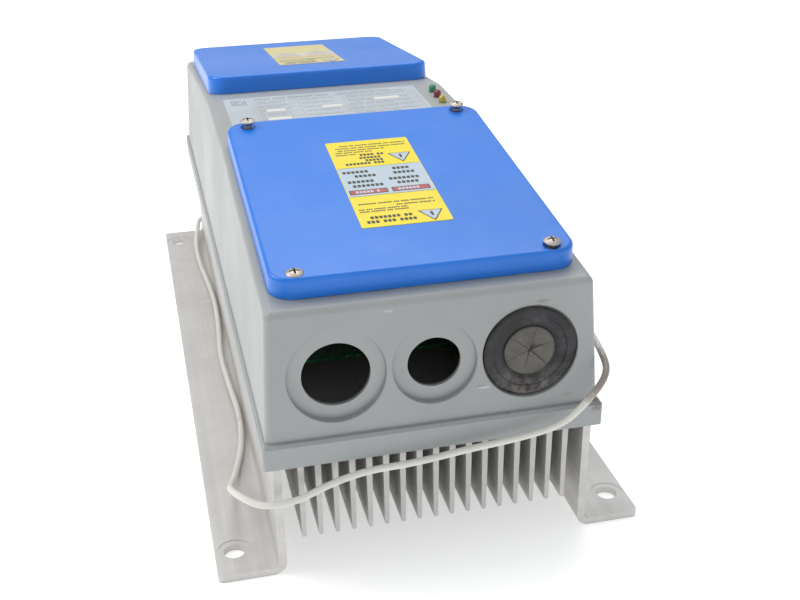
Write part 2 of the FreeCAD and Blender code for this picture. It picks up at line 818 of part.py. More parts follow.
standoff_height = 20.0
board_thickness = 1.6
power_board_size = (160.0, 270.0)
power_board_start = 50.0
standoff_places = [(side * 72.0, distance) for distance in (56.0, 184.0, 312.0) for side in (-1, 1)]
standoff_radius = 3.5
standoff_screw_radius = 1.5
module_screw_radius = 2.5
module_screw_length = 14.0
modules = {
    "rectifier_module": {"size": (34.0, 94.0, 17.0), "middle": (-34.0, 175.0), "screws": ((0, -40), (0, 40))},
    "inverter_module": {"size": (62.0, 122.0, 17.0), "middle": (28.0, 190.0),
                        "screws": ((-24, -53), (24, -53), (-24, 53), (24, 53))},
}
module_foot = 5.0                # thickness of a module under its screw heads
board_bottom = plate_top + standoff_height
board_top = board_bottom + board_thickness


def module_screw_places():
    places = []
    for module in modules.values():
        middle_x, middle_distance = module["middle"]
        places += [(middle_x + dx, middle_distance + dy) for dx, dy in module["screws"]]
    return places


def plate_screw_places():
    """(x, distance, shank radius, depth) of every screw that goes down into the heatsink plate."""
    places = lug_screw_places()
    depth = module_screw_length - module_foot + 1
    places += [(x, distance, module_screw_radius, depth) for x, distance in module_screw_places()]
    places += [(x, distance, standoff_screw_radius, 7.0) for x, distance in standoff_places]
    places += [(x, distance, tray_screw_radius, tray_screw_length) for x, distance in tray_screw_places()]
    places += [(x, distance, ground_screw_radius, 7.0) for x, distance in ground_foot_places()]
    return places


def power_module(name):
    """A sealed semiconductor block with low ears for its screws."""
    width, length, height = modules[name]["size"]
    middle_x, middle_distance = modules[name]["middle"]
    y = along(middle_distance)
    base = block((middle_x - width / 2, middle_x + width / 2), (y - length / 2, y + length / 2),
                 (plate_top, plate_top + height))
    notches = []
    holes = []
    for dx, dy in modules[name]["screws"]:
        place = Vec(middle_x + dx, y + dy, plate_top)
        notches.append(rod(place + UP * module_foot, UP, 6.2, height))
        holes.append(rod(place - UP, UP, module_screw_radius + running, height))
    return base.cut(Part.makeCompound(notches)).cut(Part.makeCompound(holes))


def module_screws():
    screw = pan_screw(module_screw_radius, module_screw_length)
    top = plate_top + module_foot
    return Part.makeCompound([aimed(screw, Vec(x, along(distance), top), UP)
                              for x, distance in module_screw_places()])


def board_standoffs():
    """Hexagonal brass pillars, each with a stud that screws into the plate."""
    pillars = []
    for x, distance in standoff_places:
        corners = [Vec(x + standoff_radius * math.cos(math.radians(60 * k)),
                       along(distance) + standoff_radius * math.sin(math.radians(60 * k)), plate_top)
                   for k in range(6)]
        pillar = Part.Face(Part.makePolygon(corners + corners[:1])).extrude(UP * standoff_height)
        stud = rod(Vec(x, along(distance), plate_top - 6), UP, standoff_screw_radius, 6)
        hole = rod(Vec(x, along(distance), board_bottom - 9), UP, standoff_screw_radius + running, 10)
        pillars.append(fused([pillar, stud]).cut(hole))
    return Part.makeCompound(pillars)


def power_board():
    width, length = power_board_size
    board = block((-width / 2, width / 2), (along(power_board_start), along(power_board_start + length)),
                  (board_bottom, board_top))
    holes = [rod(Vec(x, along(distance), board_bottom - 1), UP, standoff_screw_radius + running, 4)
             for x, distance in standoff_places]
    return board.cut(Part.makeCompound(holes))


def power_board_screws():
    screw = pan_screw(standoff_screw_radius, 8.0)
    return Part.makeCompound([aimed(screw, Vec(x, along(distance), board_top), UP)
                              for x, distance in standoff_places])


capacitor_radius = 15.0
capacitor_height = 48.0
capacitor_x = (-54.0, -18.0, 18.0, 54.0)
capacitor_distance = 288.0


def link_capacitors():
    """Four can capacitors with a pressed ring near the top."""
    r = capacitor_radius
    h = capacitor_height
    outline = [(0, 0), (r, 0), (r, h - 7), (r - 0.8, h - 6), (r - 0.8, h - 5), (r, h - 4), (r, h - 1.2),
               (r - 1.2, h), (r - 2.4, h), (r - 2.8, h - 0.6), (0, h - 0.6)]
    can = revolved(outline)
    return Part.makeCompound([aimed(can, Vec(x, along(capacitor_distance), board_top), UP)
                              for x in capacitor_x])


choke_x = -36.0
choke_distance = 148.0
choke_ring = 24.0
choke_thickness = 6.5
winding_wall = 2.2


def choke_core():
    centre = Vec(choke_x, along(choke_distance), choke_height())
    return Part.makeTorus(choke_ring, choke_thickness, centre)


def choke_height():
    return board_top + choke_thickness + winding_wall + 2 * loose


def choke_windings():
    """Three copper windings, each a sleeve round a third of the core."""
    centre = Vec(choke_x, along(choke_distance), choke_height())
    sleeves = []
    inner = choke_thickness + loose
    for number in range(3):
        outer_arc = Part.makeTorus(choke_ring, inner + winding_wall, Vec(0, 0, 0), UP, 0, 360, 86)
        inner_arc = Part.makeTorus(choke_ring, inner, Vec(0, 0, 0), UP, 0, 360, 86)
        sleeve = outer_arc.cut(inner_arc)
        sleeve.rotate(Vec(0, 0, 0), UP, 120 * number)
        sleeve.translate(centre)
        sleeves.append(sleeve)
    return Part.makeCompound(sleeves)


# ---------------------------------------------------------------- terminals

pole_count = 6
pole_pitch = 21.0
terminal_block_depth = 32.0
terminal_block_height = 31.0
terminal_block_start = 62.0
terminal_block_x = -10.0         # middle of the block
terminal_pocket = (12.0, 15.0, 16.0)           # width, depth, height
terminal_screw_radius = 3.0
terminal_well_radius = 5.0
terminal_well_distance = 9.0     # of the screw wells from the block's near face


def pole_places():
    first = terminal_block_x - (pole_count - 1) / 2 * pole_pitch
    return [first + number * pole_pitch for number in range(pole_count)]


def power_terminal_block():
    """A moulded row of poles: a wire pocket facing the conduits and a screw well on top of each."""
    half = pole_count * pole_pitch / 2
    start = along(terminal_block_start)
    base = block((terminal_block_x - half, terminal_block_x + half), (start, start + terminal_block_depth),
                 (board_top, board_top + terminal_block_height))
    cuts = []
    width, depth, height = terminal_pocket
    for x in pole_places():
        cuts.append(block((x - width / 2, x + width / 2), (start - 1, start + depth),
                          (board_top + 5, board_top + 5 + height)))
        well_bottom = Vec(x, start + terminal_well_distance, board_top + 12)
        cuts.append(rod(well_bottom, UP, terminal_well_radius, terminal_block_height))
    groove = block((terminal_block_x - half - 1, terminal_block_x + half + 1), (start - 1, start + 0.6),
                   (marker_bottom(), marker_bottom() + marker_size[1]))
    step = block((terminal_block_x - half - 1, terminal_block_x + half + 1), (start + 22, start + 40),
                 (board_top + 22, board_top + 40))
    return base.cut(Part.makeCompound(cuts)).cut(fused([groove, step]))


marker_size = (96.0, 5.0, 0.5)


def marker_bottom():
    return board_top + terminal_block_height - 8.0


def terminal_marker_strip():
    """The pale strip that pole marks are printed on."""
    start = along(terminal_block_start)
    return block((terminal_block_x - marker_size[0] / 2, terminal_block_x + marker_size[0] / 2),
                 (start + 0.05, start + 0.6), (marker_bottom() + 0.1, marker_bottom() + marker_size[1] - 0.1))


def terminal_clamps():
    """A brass clamp bar with its screw in every pole."""
    start = along(terminal_block_start)
    floor = board_top + 5.2
    bar_thickness = 2.5
    head_height = 14.0
    screw = pan_screw(terminal_screw_radius, head_height - bar_thickness)
    screw = screw.common(rod(Vec(0, 0, -head_height), UP, terminal_well_radius - loose, 40))
    clamps = []
    for x in pole_places():
        bar = block((x - 5.2, x + 5.2), (start + 2.5, start + 14.5), (floor, floor + bar_thickness))
        placed = aimed(screw, Vec(x, start + terminal_well_distance, floor + head_height), UP)
        clamps.append(fused([placed, bar]))
    return Part.makeCompound(clamps)


ground_bar_size = (52.0, 10.0, 6.0)
ground_bar_distance = 46.0
ground_bar_x = 50.0
ground_foot_height = 9.0
ground_screw_radius = 2.0


def ground_foot_places():
    reach = ground_bar_size[0] / 2 - 5.0
    return [(ground_bar_x - reach, ground_bar_distance), (ground_bar_x + reach, ground_bar_distance)]


def ground_bar():
    """Earth bar on two feet, with wire holes along its face."""
    width, depth, height = ground_bar_size
    y = along(ground_bar_distance)
    bottom = plate_top + ground_foot_height
    bar = block((ground_bar_x - width / 2, ground_bar_x + width / 2), (y - depth / 2, y + depth / 2),
                (bottom, bottom + height))
    feet = [rod(Vec(x, along(distance), plate_top), UP, 4.5, ground_foot_height + 0.5)
            for x, distance in ground_foot_places()]
    bar = fused([bar] + feet)
    cuts = [rod(Vec(x, along(distance), plate_top - 1), UP, ground_screw_radius + running, 30)
            for x, distance in ground_foot_places()]
    for number in range(4):
        x = ground_bar_x - 12 + 8 * number
        cuts.append(rod(Vec(x, y - depth, bottom + height / 2), FAR, 1.9, 2 * depth))
    return bar.cut(Part.makeCompound(cuts))


def ground_screws():
    screw = pan_screw(ground_screw_radius, ground_foot_height + ground_bar_size[2] + 6.0)
    top = plate_top + ground_foot_height + ground_bar_size[2]
    return Part.makeCompound([aimed(screw, Vec(x, along(distance), top), UP)
                              for x, distance in ground_foot_places()])


# ---------------------------------------------------------------- control electronics

tray_size = (140.0, 146.0)
tray_start = 340.0
tray_top = 126.0
tray_sheet = 1.5
tray_foot = 12.0
tray_screw_radius = 2.0
tray_screw_length = 7.0
post_height = 6.0
control_board_size = (130.0, 136.0)
control_screw_radius = 1.5


def tray_screw_places():
    x = tray_size[0] / 2 - tray_foot / 2
    return [(side * x, tray_start + offset) for side in (-1, 1) for offset in (20.0, 126.0)]


def control_post_places():
    x = control_board_size[0] / 2 - 6
    middle = tray_start + tray_size[1] / 2
    y = control_board_size[1] / 2 - 6
    return [(sx * x, middle + sy * y) for sx in (-1, 1) for sy in (-1, 1)]


def control_tray():
    """A bent steel bridge over the plate that carries the control board on four posts."""
    half = tray_size[0] / 2
    start = along(tray_start)
    end = start + tray_size[1]
    top = block((-half, half), (start, end), (tray_top - tray_sheet, tray_top))
    pieces = [top]
    for side in (-1, 1):
        leg = sorted((side * half, side * (half - tray_sheet)))
        foot = sorted((side * half, side * (half - tray_foot)))
        pieces.append(block(leg, (start, end), (plate_top, tray_top)))
        pieces.append(block(foot, (start, end), (plate_top, plate_top + tray_sheet)))
    for x, distance in control_post_places():
        pieces.append(rod(Vec(x, along(distance), tray_top - 0.5), UP, 3.2, post_height + 0.5))
    cuts = [rod(Vec(x, along(distance), plate_top - 1), UP, tray_screw_radius + running, 4)
            for x, distance in tray_screw_places()]
    cuts += [rod(Vec(x, along(distance), tray_top - 3), UP, control_screw_radius + running, 12)
             for x, distance in control_post_places()]
    for number in range(4):
        y = start + 30 + number * 28
        cuts.append(block((-38, 38), (y - 3, y + 3), (tray_top - 3, tray_top + 3)))
    return fused(pieces).cut(Part.makeCompound(cuts))


def tray_screws():
    screw = pan_screw(tray_screw_radius, tray_screw_length)
    return Part.makeCompound([aimed(screw, Vec(x, along(distance), plate_top + tray_sheet), UP)
                              for x, distance in tray_screw_places()])


control_bottom = tray_top + post_height
control_top = control_bottom + board_thickness


def control_board():
    width, length = control_board_size
    middle = along(tray_start + tray_size[1] / 2)
    board = block((-width / 2, width / 2), (middle - length / 2, middle + length / 2),
                  (control_bottom, control_top))
    holes = [rod(Vec(x, along(distance), control_bottom - 1), UP, control_screw_radius + running, 4)
             for x, distance in control_post_places()]
    return board.cut(Part.makeCompound(holes))


def control_board_screws():
    screw = pan_screw(control_screw_radius, 8.0)
    return Part.makeCompound([aimed(screw, Vec(x, along(distance), control_top), UP)
                              for x, distance in control_post_places()])


def control_terminals():
    """Two green plug-in strips of small wire clamps along the board's near edge."""
    strips = []
    start = along(tray_start + 12)
    for middle_x in (-27.0, 29.0):
        strip = block((middle_x - 25, middle_x + 25), (start, start + 9), (control_top, control_top + 10))
        cuts = []
        for number in range(9):
            x = middle_x - 20.32 + number * 5.08
            cuts.append(rod(Vec(x, start + 4.5, control_top + 7), UP, 1.6, 5))
            mouth = (control_top + 1.5, control_top + 5)
            cuts.append(block((x - 1.6, x + 1.6), (start - 1, start + 3), mouth))
        strips.append(strip.cut(Part.makeCompound(cuts)))
    return Part.makeCompound(strips)


def processor_chip():
    middle = along(tray_start + 82)
    chip = block((-14, 14), (middle - 14, middle + 14), (control_top + 0.2, control_top + 3.2))
    feet = []
    for number in range(12):
        offset = -11 + 2 * number
        feet.append(block((offset - 0.5, offset + 0.5), (middle - 16, middle + 16),
                          (control_top, control_top + 0.7)))
    return fused([chip] + feet)


# ---------------------------------------------------------------- fans

bracket_screw_places = (-62.0, 0.0, 62.0)
bracket_screw_radius = 2.0
bracket_screw_length = 10.0
bracket_bottom = 9.5
bracket_half_width = 83.0
fan_screw_radius = 1.8
fan_hub_radius = 14.0
axle_radius = 1.5
guard_wire = 0.8
spoke_wire = 0.9
guard_eye_radius = 5.0


def fan_x(side):
    return side * fan_spacing / 2


def fan_corner_places(side):
    reach = fan_screw_pitch / 2
    return [(fan_x(side) + sx * reach, fan_height + sz * reach) for sx in (-1, 1) for sz in (-1, 1)]


def fan_bracket():
    """Sheet plate across the far end of the heatsink, with an opening for each fan."""
    start = along(heatsink_length)
    plate = block((-bracket_half_width, bracket_half_width), (start, start + bracket_thickness),
                  (bracket_bottom, plate_top - 0.5))
    cuts = []
    for x in bracket_screw_places:
        cuts.append(rod(Vec(x, start - 1, rail_screw_height), FAR, bracket_screw_radius + running, 4))
    for side in (-1, 1):
        cuts.append(rod(Vec(fan_x(side), start - 1, fan_height), FAR, fan_bore_radius - 0.5, 4))
        cuts += [rod(Vec(x, start - 1, z), FAR, fan_screw_radius + running, 4)
                 for x, z in fan_corner_places(side)]
    return plate.cut(Part.makeCompound(cuts))


def fan_bracket_screws():
    screw = pan_screw(bracket_screw_radius, bracket_screw_length)
    y = along(heatsink_length) + bracket_thickness
    return Part.makeCompound([aimed(screw, Vec(x, y, rail_screw_height), FAR) for x in bracket_screw_places])


fan_start = heatsink_length + bracket_thickness
strut_depth = 3.0


def fan_frame(side):
    """Square fan housing with a round duct and a motor seat held by three struts."""
    start = along(fan_start)
    centre = Vec(fan_x(side), start, fan_height)
    square = rounded_rectangle(fan_size, fan_size, 3.0).extrude(UP * fan_depth)
    square = aimed(square, centre, FAR)
    duct = rod(centre - FAR, FAR, fan_bore_radius, fan_depth + 2)
    body = square.cut(duct)
    seat_start = centre + FAR * (fan_depth - strut_depth)
    pieces = [body, rod(seat_start, FAR, fan_hub_radius, strut_depth)]
    for number in range(3):
        strut = block((0, fan_bore_radius + 0.5), (-2.0, 2.0), (0, strut_depth))
        strut.rotate(Vec(0, 0, 0), UP, 120 * number + 30)
        pieces.append(aimed(strut, seat_start, FAR))
    body = fused(pieces)
    cuts = [rod(seat_start - FAR, FAR, axle_radius + running, strut_depth)]
    cuts += [rod(Vec(x, start - 1, z), FAR, fan_screw_radius + running, fan_depth + 2)
             for x, z in fan_corner_places(side)]
    return body.cut(Part.makeCompound(cuts))


blade_root_angle = 52.0          # degrees from the fan's plane
blade_tip_angle = 30.0
blade_thickness = 1.4
blade_chord = (15.0, 21.0)
rotor_length = 17.0
rotor_gap = 2.0


def fan_blade():
    """A twisted blade along +X, lofted from root to tip; the fan's axis is Z."""
    sections = []
    stations = 4
    for number in range(stations):
        share = number / (stations - 1)
        radius = fan_hub_radius - 1.0 + share * (fan_bore_radius - 1.0 - fan_hub_radius + 1.0)
        pitch = math.radians(blade_root_angle + share * (blade_tip_angle - blade_root_angle))
        chord = blade_chord[0] + share * (blade_chord[1] - blade_chord[0])
        half = chord / 2
        half_thick = blade_thickness / 2
        corners = []
        for along_chord, off_chord in ((-half, -half_thick), (half, -half_thick), (half, half_thick),
                                       (-half, half_thick)):
            y = along_chord * math.cos(pitch) - off_chord * math.sin(pitch)
            z = along_chord * math.sin(pitch) + off_chord * math.cos(pitch)
            corners.append(Vec(radius, y, z))
        sections.append(Part.makePolygon(corners + corners[:1]))
    return Part.makeLoft(sections, True, False)


def fan_rotor(side):
    """Hub cup, blades and axle; it turns about the fan's axis."""
    hub_bottom = rotor_gap
    hub = rod(Vec(0, 0, hub_bottom), UP, fan_hub_radius - 0.5, rotor_length)
    hub = rounded_edges(hub, 1.5, lambda edge: max(edge_heights(edge)) < hub_bottom + 1)
    axle = rod(Vec(0, 0, hub_bottom + rotor_length - 1), UP, axle_radius,
               fan_depth - 1.5 - rotor_length - hub_bottom + 0.4)
    pieces = [hub, axle]
    blade = fan_blade()
    reach = Part.makeCylinder(fan_bore_radius - 0.9, fan_depth)
    for number in range(blade_count):
        turned = blade.copy()
        turned.translate(Vec(0, 0, hub_bottom + rotor_length / 2))
        turned.rotate(Vec(0, 0, 0), UP, 360 / blade_count * number)
        pieces.append(turned.common(reach))
    return aimed(fused(pieces), Vec(fan_x(side), along(fan_start), fan_height), FAR)


def fan_guard(side):
    """Wire finger guard: rings on four spokes that end in flat eyes under the fan screws."""
    height = 2.0 * guard_wire + 0.9
    pieces = [Part.makeTorus(radius, guard_wire, Vec(0, 0, height)) for radius in (9.0, 16.0, 23.0, 29.0)]
    reach = fan_screw_pitch / 2
    for sx in (-1, 1):
        for sy in (-1, 1):
            eye = Vec(sx * reach, sy * reach, 0)
            spoke_height = height - 0.7
            spoke_start = Vec(sx * 6, sy * 6, spoke_height)
            spoke_end = Vec(eye.x - sx * 2.9, eye.y - sy * 2.9, spoke_height)
            direction = spoke_end - spoke_start
            pieces.append(rod(spoke_start, direction, spoke_wire, direction.Length))
            pieces.append(rod(eye, UP, guard_eye_radius, 2 * guard_wire))
    guard = fused(pieces)
    holes = [rod(Vec(sx * reach, sy * reach, -1), UP, fan_screw_radius + running, 8)
             for sx in (-1, 1) for sy in (-1, 1)]
    guard = guard.cut(Part.makeCompound(holes))
    place = Vec(fan_x(side), along(fan_start + fan_depth), fan_height)
    return aimed(guard, place, FAR)


def fan_screws():
    """Long screws through guard and frame that end flush in the bracket."""
    length = 2 * guard_wire + fan_depth + bracket_thickness
    screw = pan_screw(fan_screw_radius, length)
    y = along(fan_start + fan_depth) + 2 * guard_wire
    placed = [aimed(screw, Vec(x, y, z), FAR) for side in (-1, 1) for x, z in fan_corner_places(side)]
    return Part.makeCompound(placed)


# ---------------------------------------------------------------- lead

# Route of the thin lead as (x, distance from the near end face, height): out of the strain relief
# on the right wall, round the near corner, across in front of the skirt, down on to the left
# flange, back along it, over its far end and down to its plug.
lead_route = [
    (97.0, 60.0, 114.5), (97.6, 36.0, 110.0), (97.5, 12.0, 106.0), (92.9, -8.5, 104.0),
    (78.0, -11.8, 88.6), (66.0, -11.4, 78.2), (42.0, -10.8, 73.4), (15.0, -10.2, 70.9),
    (-14.0, -10.4, 67.2), (-40.0, -9.8, 66.8), (-60.0, -9.2, 62.0), (-79.0, -8.8, 54.0),
    (-97.0, -3.4, 52.2), (-108.4, 15.0, 47.6), (-112.6, 40.0, 33.6), (-109.4, 66.0, 16.6),
    (-102.4, 93.0, 6.8), (-94.2, 124.0, 6.7), (-91.8, 160.0, 6.7), (-94.6, 200.0, 6.7),
    (-96.4, 245.0, 6.7), (-92.8, 290.0, 6.7), (-91.6, 335.0, 6.7), (-94.4, 378.0, 6.7),
    (-97.6, 418.0, 6.7), (-97.0, 452.0, 8.0), (-93.6, 476.0, 11.4), (-90.4, 500.0, 10.6),
    (-82.6, 522.0, 4.6), (-66.0, 536.4, 3.3), (-44.0, 541.6, 3.3),
]
boot_length = 16.0
boot_radius = 4.6
relief_neck_radius = 4.0
relief_flange_radius = 7.0
plug_size = (9.0, 14.0, 6.4)     # across, along, height


def lead_points():
    return [Vec(x, along(distance), height) for x, distance, height in lead_route]


def signal_lead():
    """A tube of straight runs joined by tangent arcs along the lead's route."""
    points = lead_points()
    edges = []
    start = points[0]
    radii = []
    for before, corner, after in zip(points, points[1:], points[2:]):
        shorter = min((corner - before).Length, (after - corner).Length)
        half_turn = (corner - before).getAngle(after - corner) / 2
        radius = 0.45 * shorter / math.tan(half_turn)
        arc_start, middle, arc_end = corner_arc(before, corner, after, radius)
        edges.append(Part.LineSegment(start, arc_start).toShape())
        edges.append(Part.Arc(arc_start, middle, arc_end).toShape())
        start = arc_end
        radii.append(round(radius, 1))
    edges.append(Part.LineSegment(start, points[-1]).toShape())
    path = Part.Wire(edges)
    section = Part.Wire(Part.Circle(points[0], points[1] - points[0], lead_radius).toShape())
    tube = path.makePipeShell([section], True, False)
    expected_volume = math.pi * lead_radius ** 2 * path.Length
    print("lead bend radii", radii)
    print("lead length", round(path.Length, 1), "mm, tightest bend", min(radii), "mm")
    print("lead volume against section times length", round(tube.Volume / expected_volume, 4))
    return tube


def strain_relief():
    """A rubber bush in the side wall with a tapered boot that turns the lead towards the near end."""
    wall_point, normal = lead_wall_point()
    elbow = lead_elbow()
    exit_point = lead_points()[0]
    inside = wall_point - normal * (housing_wall / math.cos(math.radians(draft)) + running)
    stand_off = (elbow - wall_point).Length
    pieces = [
        rod(wall_point + normal * running, normal, relief_flange_radius, 1.4),
        rod(inside - normal * 2.0, normal, relief_neck_radius, housing_wall + 4.6),
        rod(inside - normal * 2.0, normal, relief_flange_radius - 1.5, 2.0),
        rod(wall_point + normal * 0.1, normal, boot_radius, stand_off - 0.1),
        Part.makeSphere(boot_radius, elbow),
        Part.makeCone(boot_radius, lead_radius + 0.7, boot_length, elbow, exit_point - elbow),
    ]
    return fused(pieces)


def lead_plug():
    """A small two-way crimp plug lying behind the drive, in line with the end of the lead."""
    before, end = lead_points()[-2:]
    across, length, height = plug_size
    bottom = -end.z + 0.1
    body = block((0, length), (-across / 2, across / 2), (bottom, bottom + height))
    body = rounded_edges(body, 0.7, lambda edge: True)
    latch = block((4, 9), (-2, 2), (bottom + height - 0.5, bottom + height + 0.9))
    body = fused([body, latch])
    sockets = [rod(Vec(length - 6, offset, 0), RIGHT, 1.1, 8) for offset in (-2.2, 2.2)]
    body = body.cut(Part.makeCompound(sockets))
    body.Placement = FreeCAD.Placement(end, FreeCAD.Rotation(RIGHT, end - before))
    return body


# ---------------------------------------------------------------- build

save("heatsink", heatsink())
save("left_mounting_rail", mounting_rail(-1))
save("right_mounting_rail", mounting_rail(1))
save("rail_screws", rail_screws())
save("housing", housing())
save("housing_screws", housing_screws())

save("terminal_cover", terminal_cover())
save("terminal_cover_gasket",
     on_deck(gasket(terminal_opening, terminal_cover_size[2]), terminal_middle, near_tilt))
for corner_name, corner_place in screw_places(terminal_cover_size, terminal_middle).items():
    placed_screw = cover_screw()
    placed_screw.translate(corner_place + UP * (seated_head_height() + backed_out[corner_name]))
    save("cover_screw_" + corner_name, on_deck(Part.makeCompound([placed_screw]), terminal_middle, near_tilt))
save("upper_cover", upper_cover())
save("upper_cover_gasket", on_deck(gasket(upper_opening, upper_cover_size[2]), upper_middle, far_tilt))

save("terminal_cover_label", terminal_cover_label())
save("upper_cover_label", upper_cover_label())
save("rating_plate", rating_plate())

for lamp_colour, lamp_distance in lamp_distances.items():
    save(lamp_colour + "_lamp", lamp(lamp_distance))
save("lamp_board", lamp_board())
save("lamp_board_screws", lamp_board_screws())

save("cable_grommet", cable_grommet())
save("grommet_membrane", grommet_membrane())

for module_name in modules:
    save(module_name, power_module(module_name))
save("module_screws", module_screws())
save("board_standoffs", board_standoffs())
save("power_board", power_board())
save("power_board_screws", power_board_screws())
save("link_capacitors", link_capacitors())
save("choke_core", choke_core())
save("choke_windings", choke_windings())

save("power_terminal_block", power_terminal_block())
save("terminal_marker_strip", terminal_marker_strip())
save("terminal_clamps", terminal_clamps())
save("ground_bar", ground_bar())
save("ground_screws", ground_screws())

save("control_tray", control_tray())
save("tray_screws", tray_screws())
save("control_board", control_board())
save("control_board_screws", control_board_screws())
save("control_terminals", control_terminals())
save("processor_chip", processor_chip())

save("fan_bracket", fan_bracket())
save("fan_bracket_screws", fan_bracket_screws())
for fan_name, fan_side in (("left", -1), ("right", 1)):
    save("fan_frame_" + fan_name, fan_frame(fan_side))
    save("fan_rotor_" + fan_name, fan_rotor(fan_side))
    save("fan_guard_" + fan_name, fan_guard(fan_side))
save("fan_screws", fan_screws())

save("strain_relief", strain_relief())
save("signal_lead", signal_lead())
save("lead_plug", lead_plug())
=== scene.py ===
# %% [markdown]
# # A motor drive, dressed for its portrait
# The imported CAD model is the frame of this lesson: a finned heatsink between two bent rails, a
# grey housing, two blue covers, and the electronics and fans inside.  The shapes are already
# right, so most of the work is finish: moulded plastic, paint, bare aluminium, rubber and film,
# each with the grain, dust and wear of a unit that has spent years in a plant room.

import json
import math
import random

import bmesh
import bpy
from mathutils import Matrix, Vector


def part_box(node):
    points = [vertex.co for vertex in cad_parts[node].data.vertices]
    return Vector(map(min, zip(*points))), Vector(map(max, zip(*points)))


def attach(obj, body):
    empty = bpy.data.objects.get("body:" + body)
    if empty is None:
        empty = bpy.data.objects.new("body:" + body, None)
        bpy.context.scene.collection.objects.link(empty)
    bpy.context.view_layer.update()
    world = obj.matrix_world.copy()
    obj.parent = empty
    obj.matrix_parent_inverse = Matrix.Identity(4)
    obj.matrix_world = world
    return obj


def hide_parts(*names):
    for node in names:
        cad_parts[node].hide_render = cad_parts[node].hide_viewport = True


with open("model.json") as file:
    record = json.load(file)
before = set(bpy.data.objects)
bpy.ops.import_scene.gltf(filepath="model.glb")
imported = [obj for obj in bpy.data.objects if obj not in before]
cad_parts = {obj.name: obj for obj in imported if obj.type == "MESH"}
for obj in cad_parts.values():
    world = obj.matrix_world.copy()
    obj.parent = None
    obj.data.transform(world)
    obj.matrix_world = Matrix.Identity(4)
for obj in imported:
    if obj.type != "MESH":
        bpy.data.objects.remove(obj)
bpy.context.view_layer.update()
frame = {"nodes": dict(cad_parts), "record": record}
nodes = frame["nodes"]
MM = 0.001


# %% [markdown]
# ## Camera
# The camera looks down over the conduit end from the left.  It is a short telephoto, close enough
# for the rails to converge.  Its distance is measured from the near end of the housing, so it
# keeps that distance if the housing grows.

# %% Camera
def middle(node):
    """Centre of a CAD node's box."""
    low, high = (Vector(corner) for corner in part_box(node))
    return (low + high) / 2


housing_low, housing_high = (Vector(corner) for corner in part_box("housing"))
turn_to_right = math.radians(13.33)
look_down = math.radians(26.53)
lean_over = math.radians(-0.66)
camera_left = 0.1376
camera_back = 0.5061
camera_height = 0.417

camera_data = bpy.data.cameras.new("camera")
camera_data.lens = 52.64
camera_data.shift_x = -0.005
camera_data.shift_y = 0.006
camera = bpy.data.objects.new("camera", camera_data)
bpy.context.scene.collection.objects.link(camera)
camera.location = (-camera_left, housing_low.y - camera_back, camera_height)
aim = Matrix.Rotation(-turn_to_right, 3, "Z")
aim = aim @ Matrix.Rotation(math.radians(90) - look_down, 3, "X")
aim = aim @ Matrix.Rotation(lean_over, 3, "Z")
camera.rotation_euler = aim.to_euler()
bpy.context.scene.camera = camera
print("camera", round((camera.location - middle("housing")).length, 3), "m from the housing")


# %% [markdown]
# ## The loose lead
# A thin white lead leaves a rubber boot on the right wall, swings round the near corner, crosses
# in front of the fins and runs back along the left rail to a small crimp plug.  A NURBS curve
# through a few control points gives the easy sag of a real lead; a chain of straight runs would
# look like bent wire.  The points follow the CAD route, as distances from the near end face; the
# sweep round the near left corner is drawn in by up to 4 mm.  The profile is a circle of radius 1
# that each point scales to the tube's radius, so that the curve's box is as slim as the lead.

# %% Lead
LEAD_RADIUS = 1.9 * MM
SKIRT_REACH = 3.5 * MM          # how far the skirt stands in front of the end face
near_face = housing_low.y + SKIRT_REACH
lead_route = [
    (97.0, 60.0, 114.5), (97.6, 36.0, 110.0), (97.5, 12.0, 106.0), (92.9, -8.5, 104.0),
    (78.0, -11.8, 88.6), (66.0, -11.4, 78.2), (42.0, -10.8, 73.4), (15.0, -10.2, 70.9),
    (-14.0, -10.4, 67.2), (-40.0, -9.8, 66.4), (-60.0, -9.4, 61.0), (-79.0, -8.8, 52.2),
    (-96.0, -4.0, 49.0), (-105.8, 13.5, 45.4), (-109.2, 38.5, 33.6), (-106.6, 65.5, 17.2),
    (-101.6, 93.0, 6.8), (-94.2, 124.0, 6.7), (-91.8, 160.0, 6.7), (-94.6, 200.0, 6.7),
    (-96.4, 245.0, 6.7), (-92.8, 290.0, 6.7), (-91.6, 335.0, 6.7), (-94.4, 378.0, 6.7),
    (-97.6, 418.0, 6.7), (-97.0, 452.0, 8.0), (-93.6, 476.0, 11.4), (-90.4, 500.0, 10.6),
    (-82.6, 522.0, 4.6), (-66.0, 536.4, 3.3), (-44.0, 541.6, 3.3),
]
lead_points = [Vector((x * MM, near_face + distance * MM, height * MM))
               for x, distance, height in lead_route]
lead_curve = bpy.data.curves.new("lead", "CURVE")
lead_curve.dimensions = "3D"
lead_curve.resolution_u = 10
lead_curve.bevel_depth = 1.0
lead_curve.bevel_resolution = 5
lead_curve.use_fill_caps = True
spline = lead_curve.splines.new("NURBS")
spline.points.add(len(lead_points) - 1)
for control, point in zip(spline.points, lead_points):
    control.co = (*point, 1)
    control.radius = LEAD_RADIUS
spline.order_u = 3
spline.use_endpoint_u = True
lead = bpy.data.objects.new("white_lead", lead_curve)
bpy.context.scene.collection.objects.link(lead)
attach(lead, "chassis")
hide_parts("signal_lead")
print("lead of", len(lead_points), "points")


# %% [markdown]
# ## Light and floor
# The drive stands on a pale seamless floor under soft studio light.  One broad lamp on the upper
# left makes the left wall the brightest side and leaves the conduit end a little darker; a wide
# overhead lamp gives the covers their long soft reflection, and a weak one in front opens up the
# shadows between the fins.

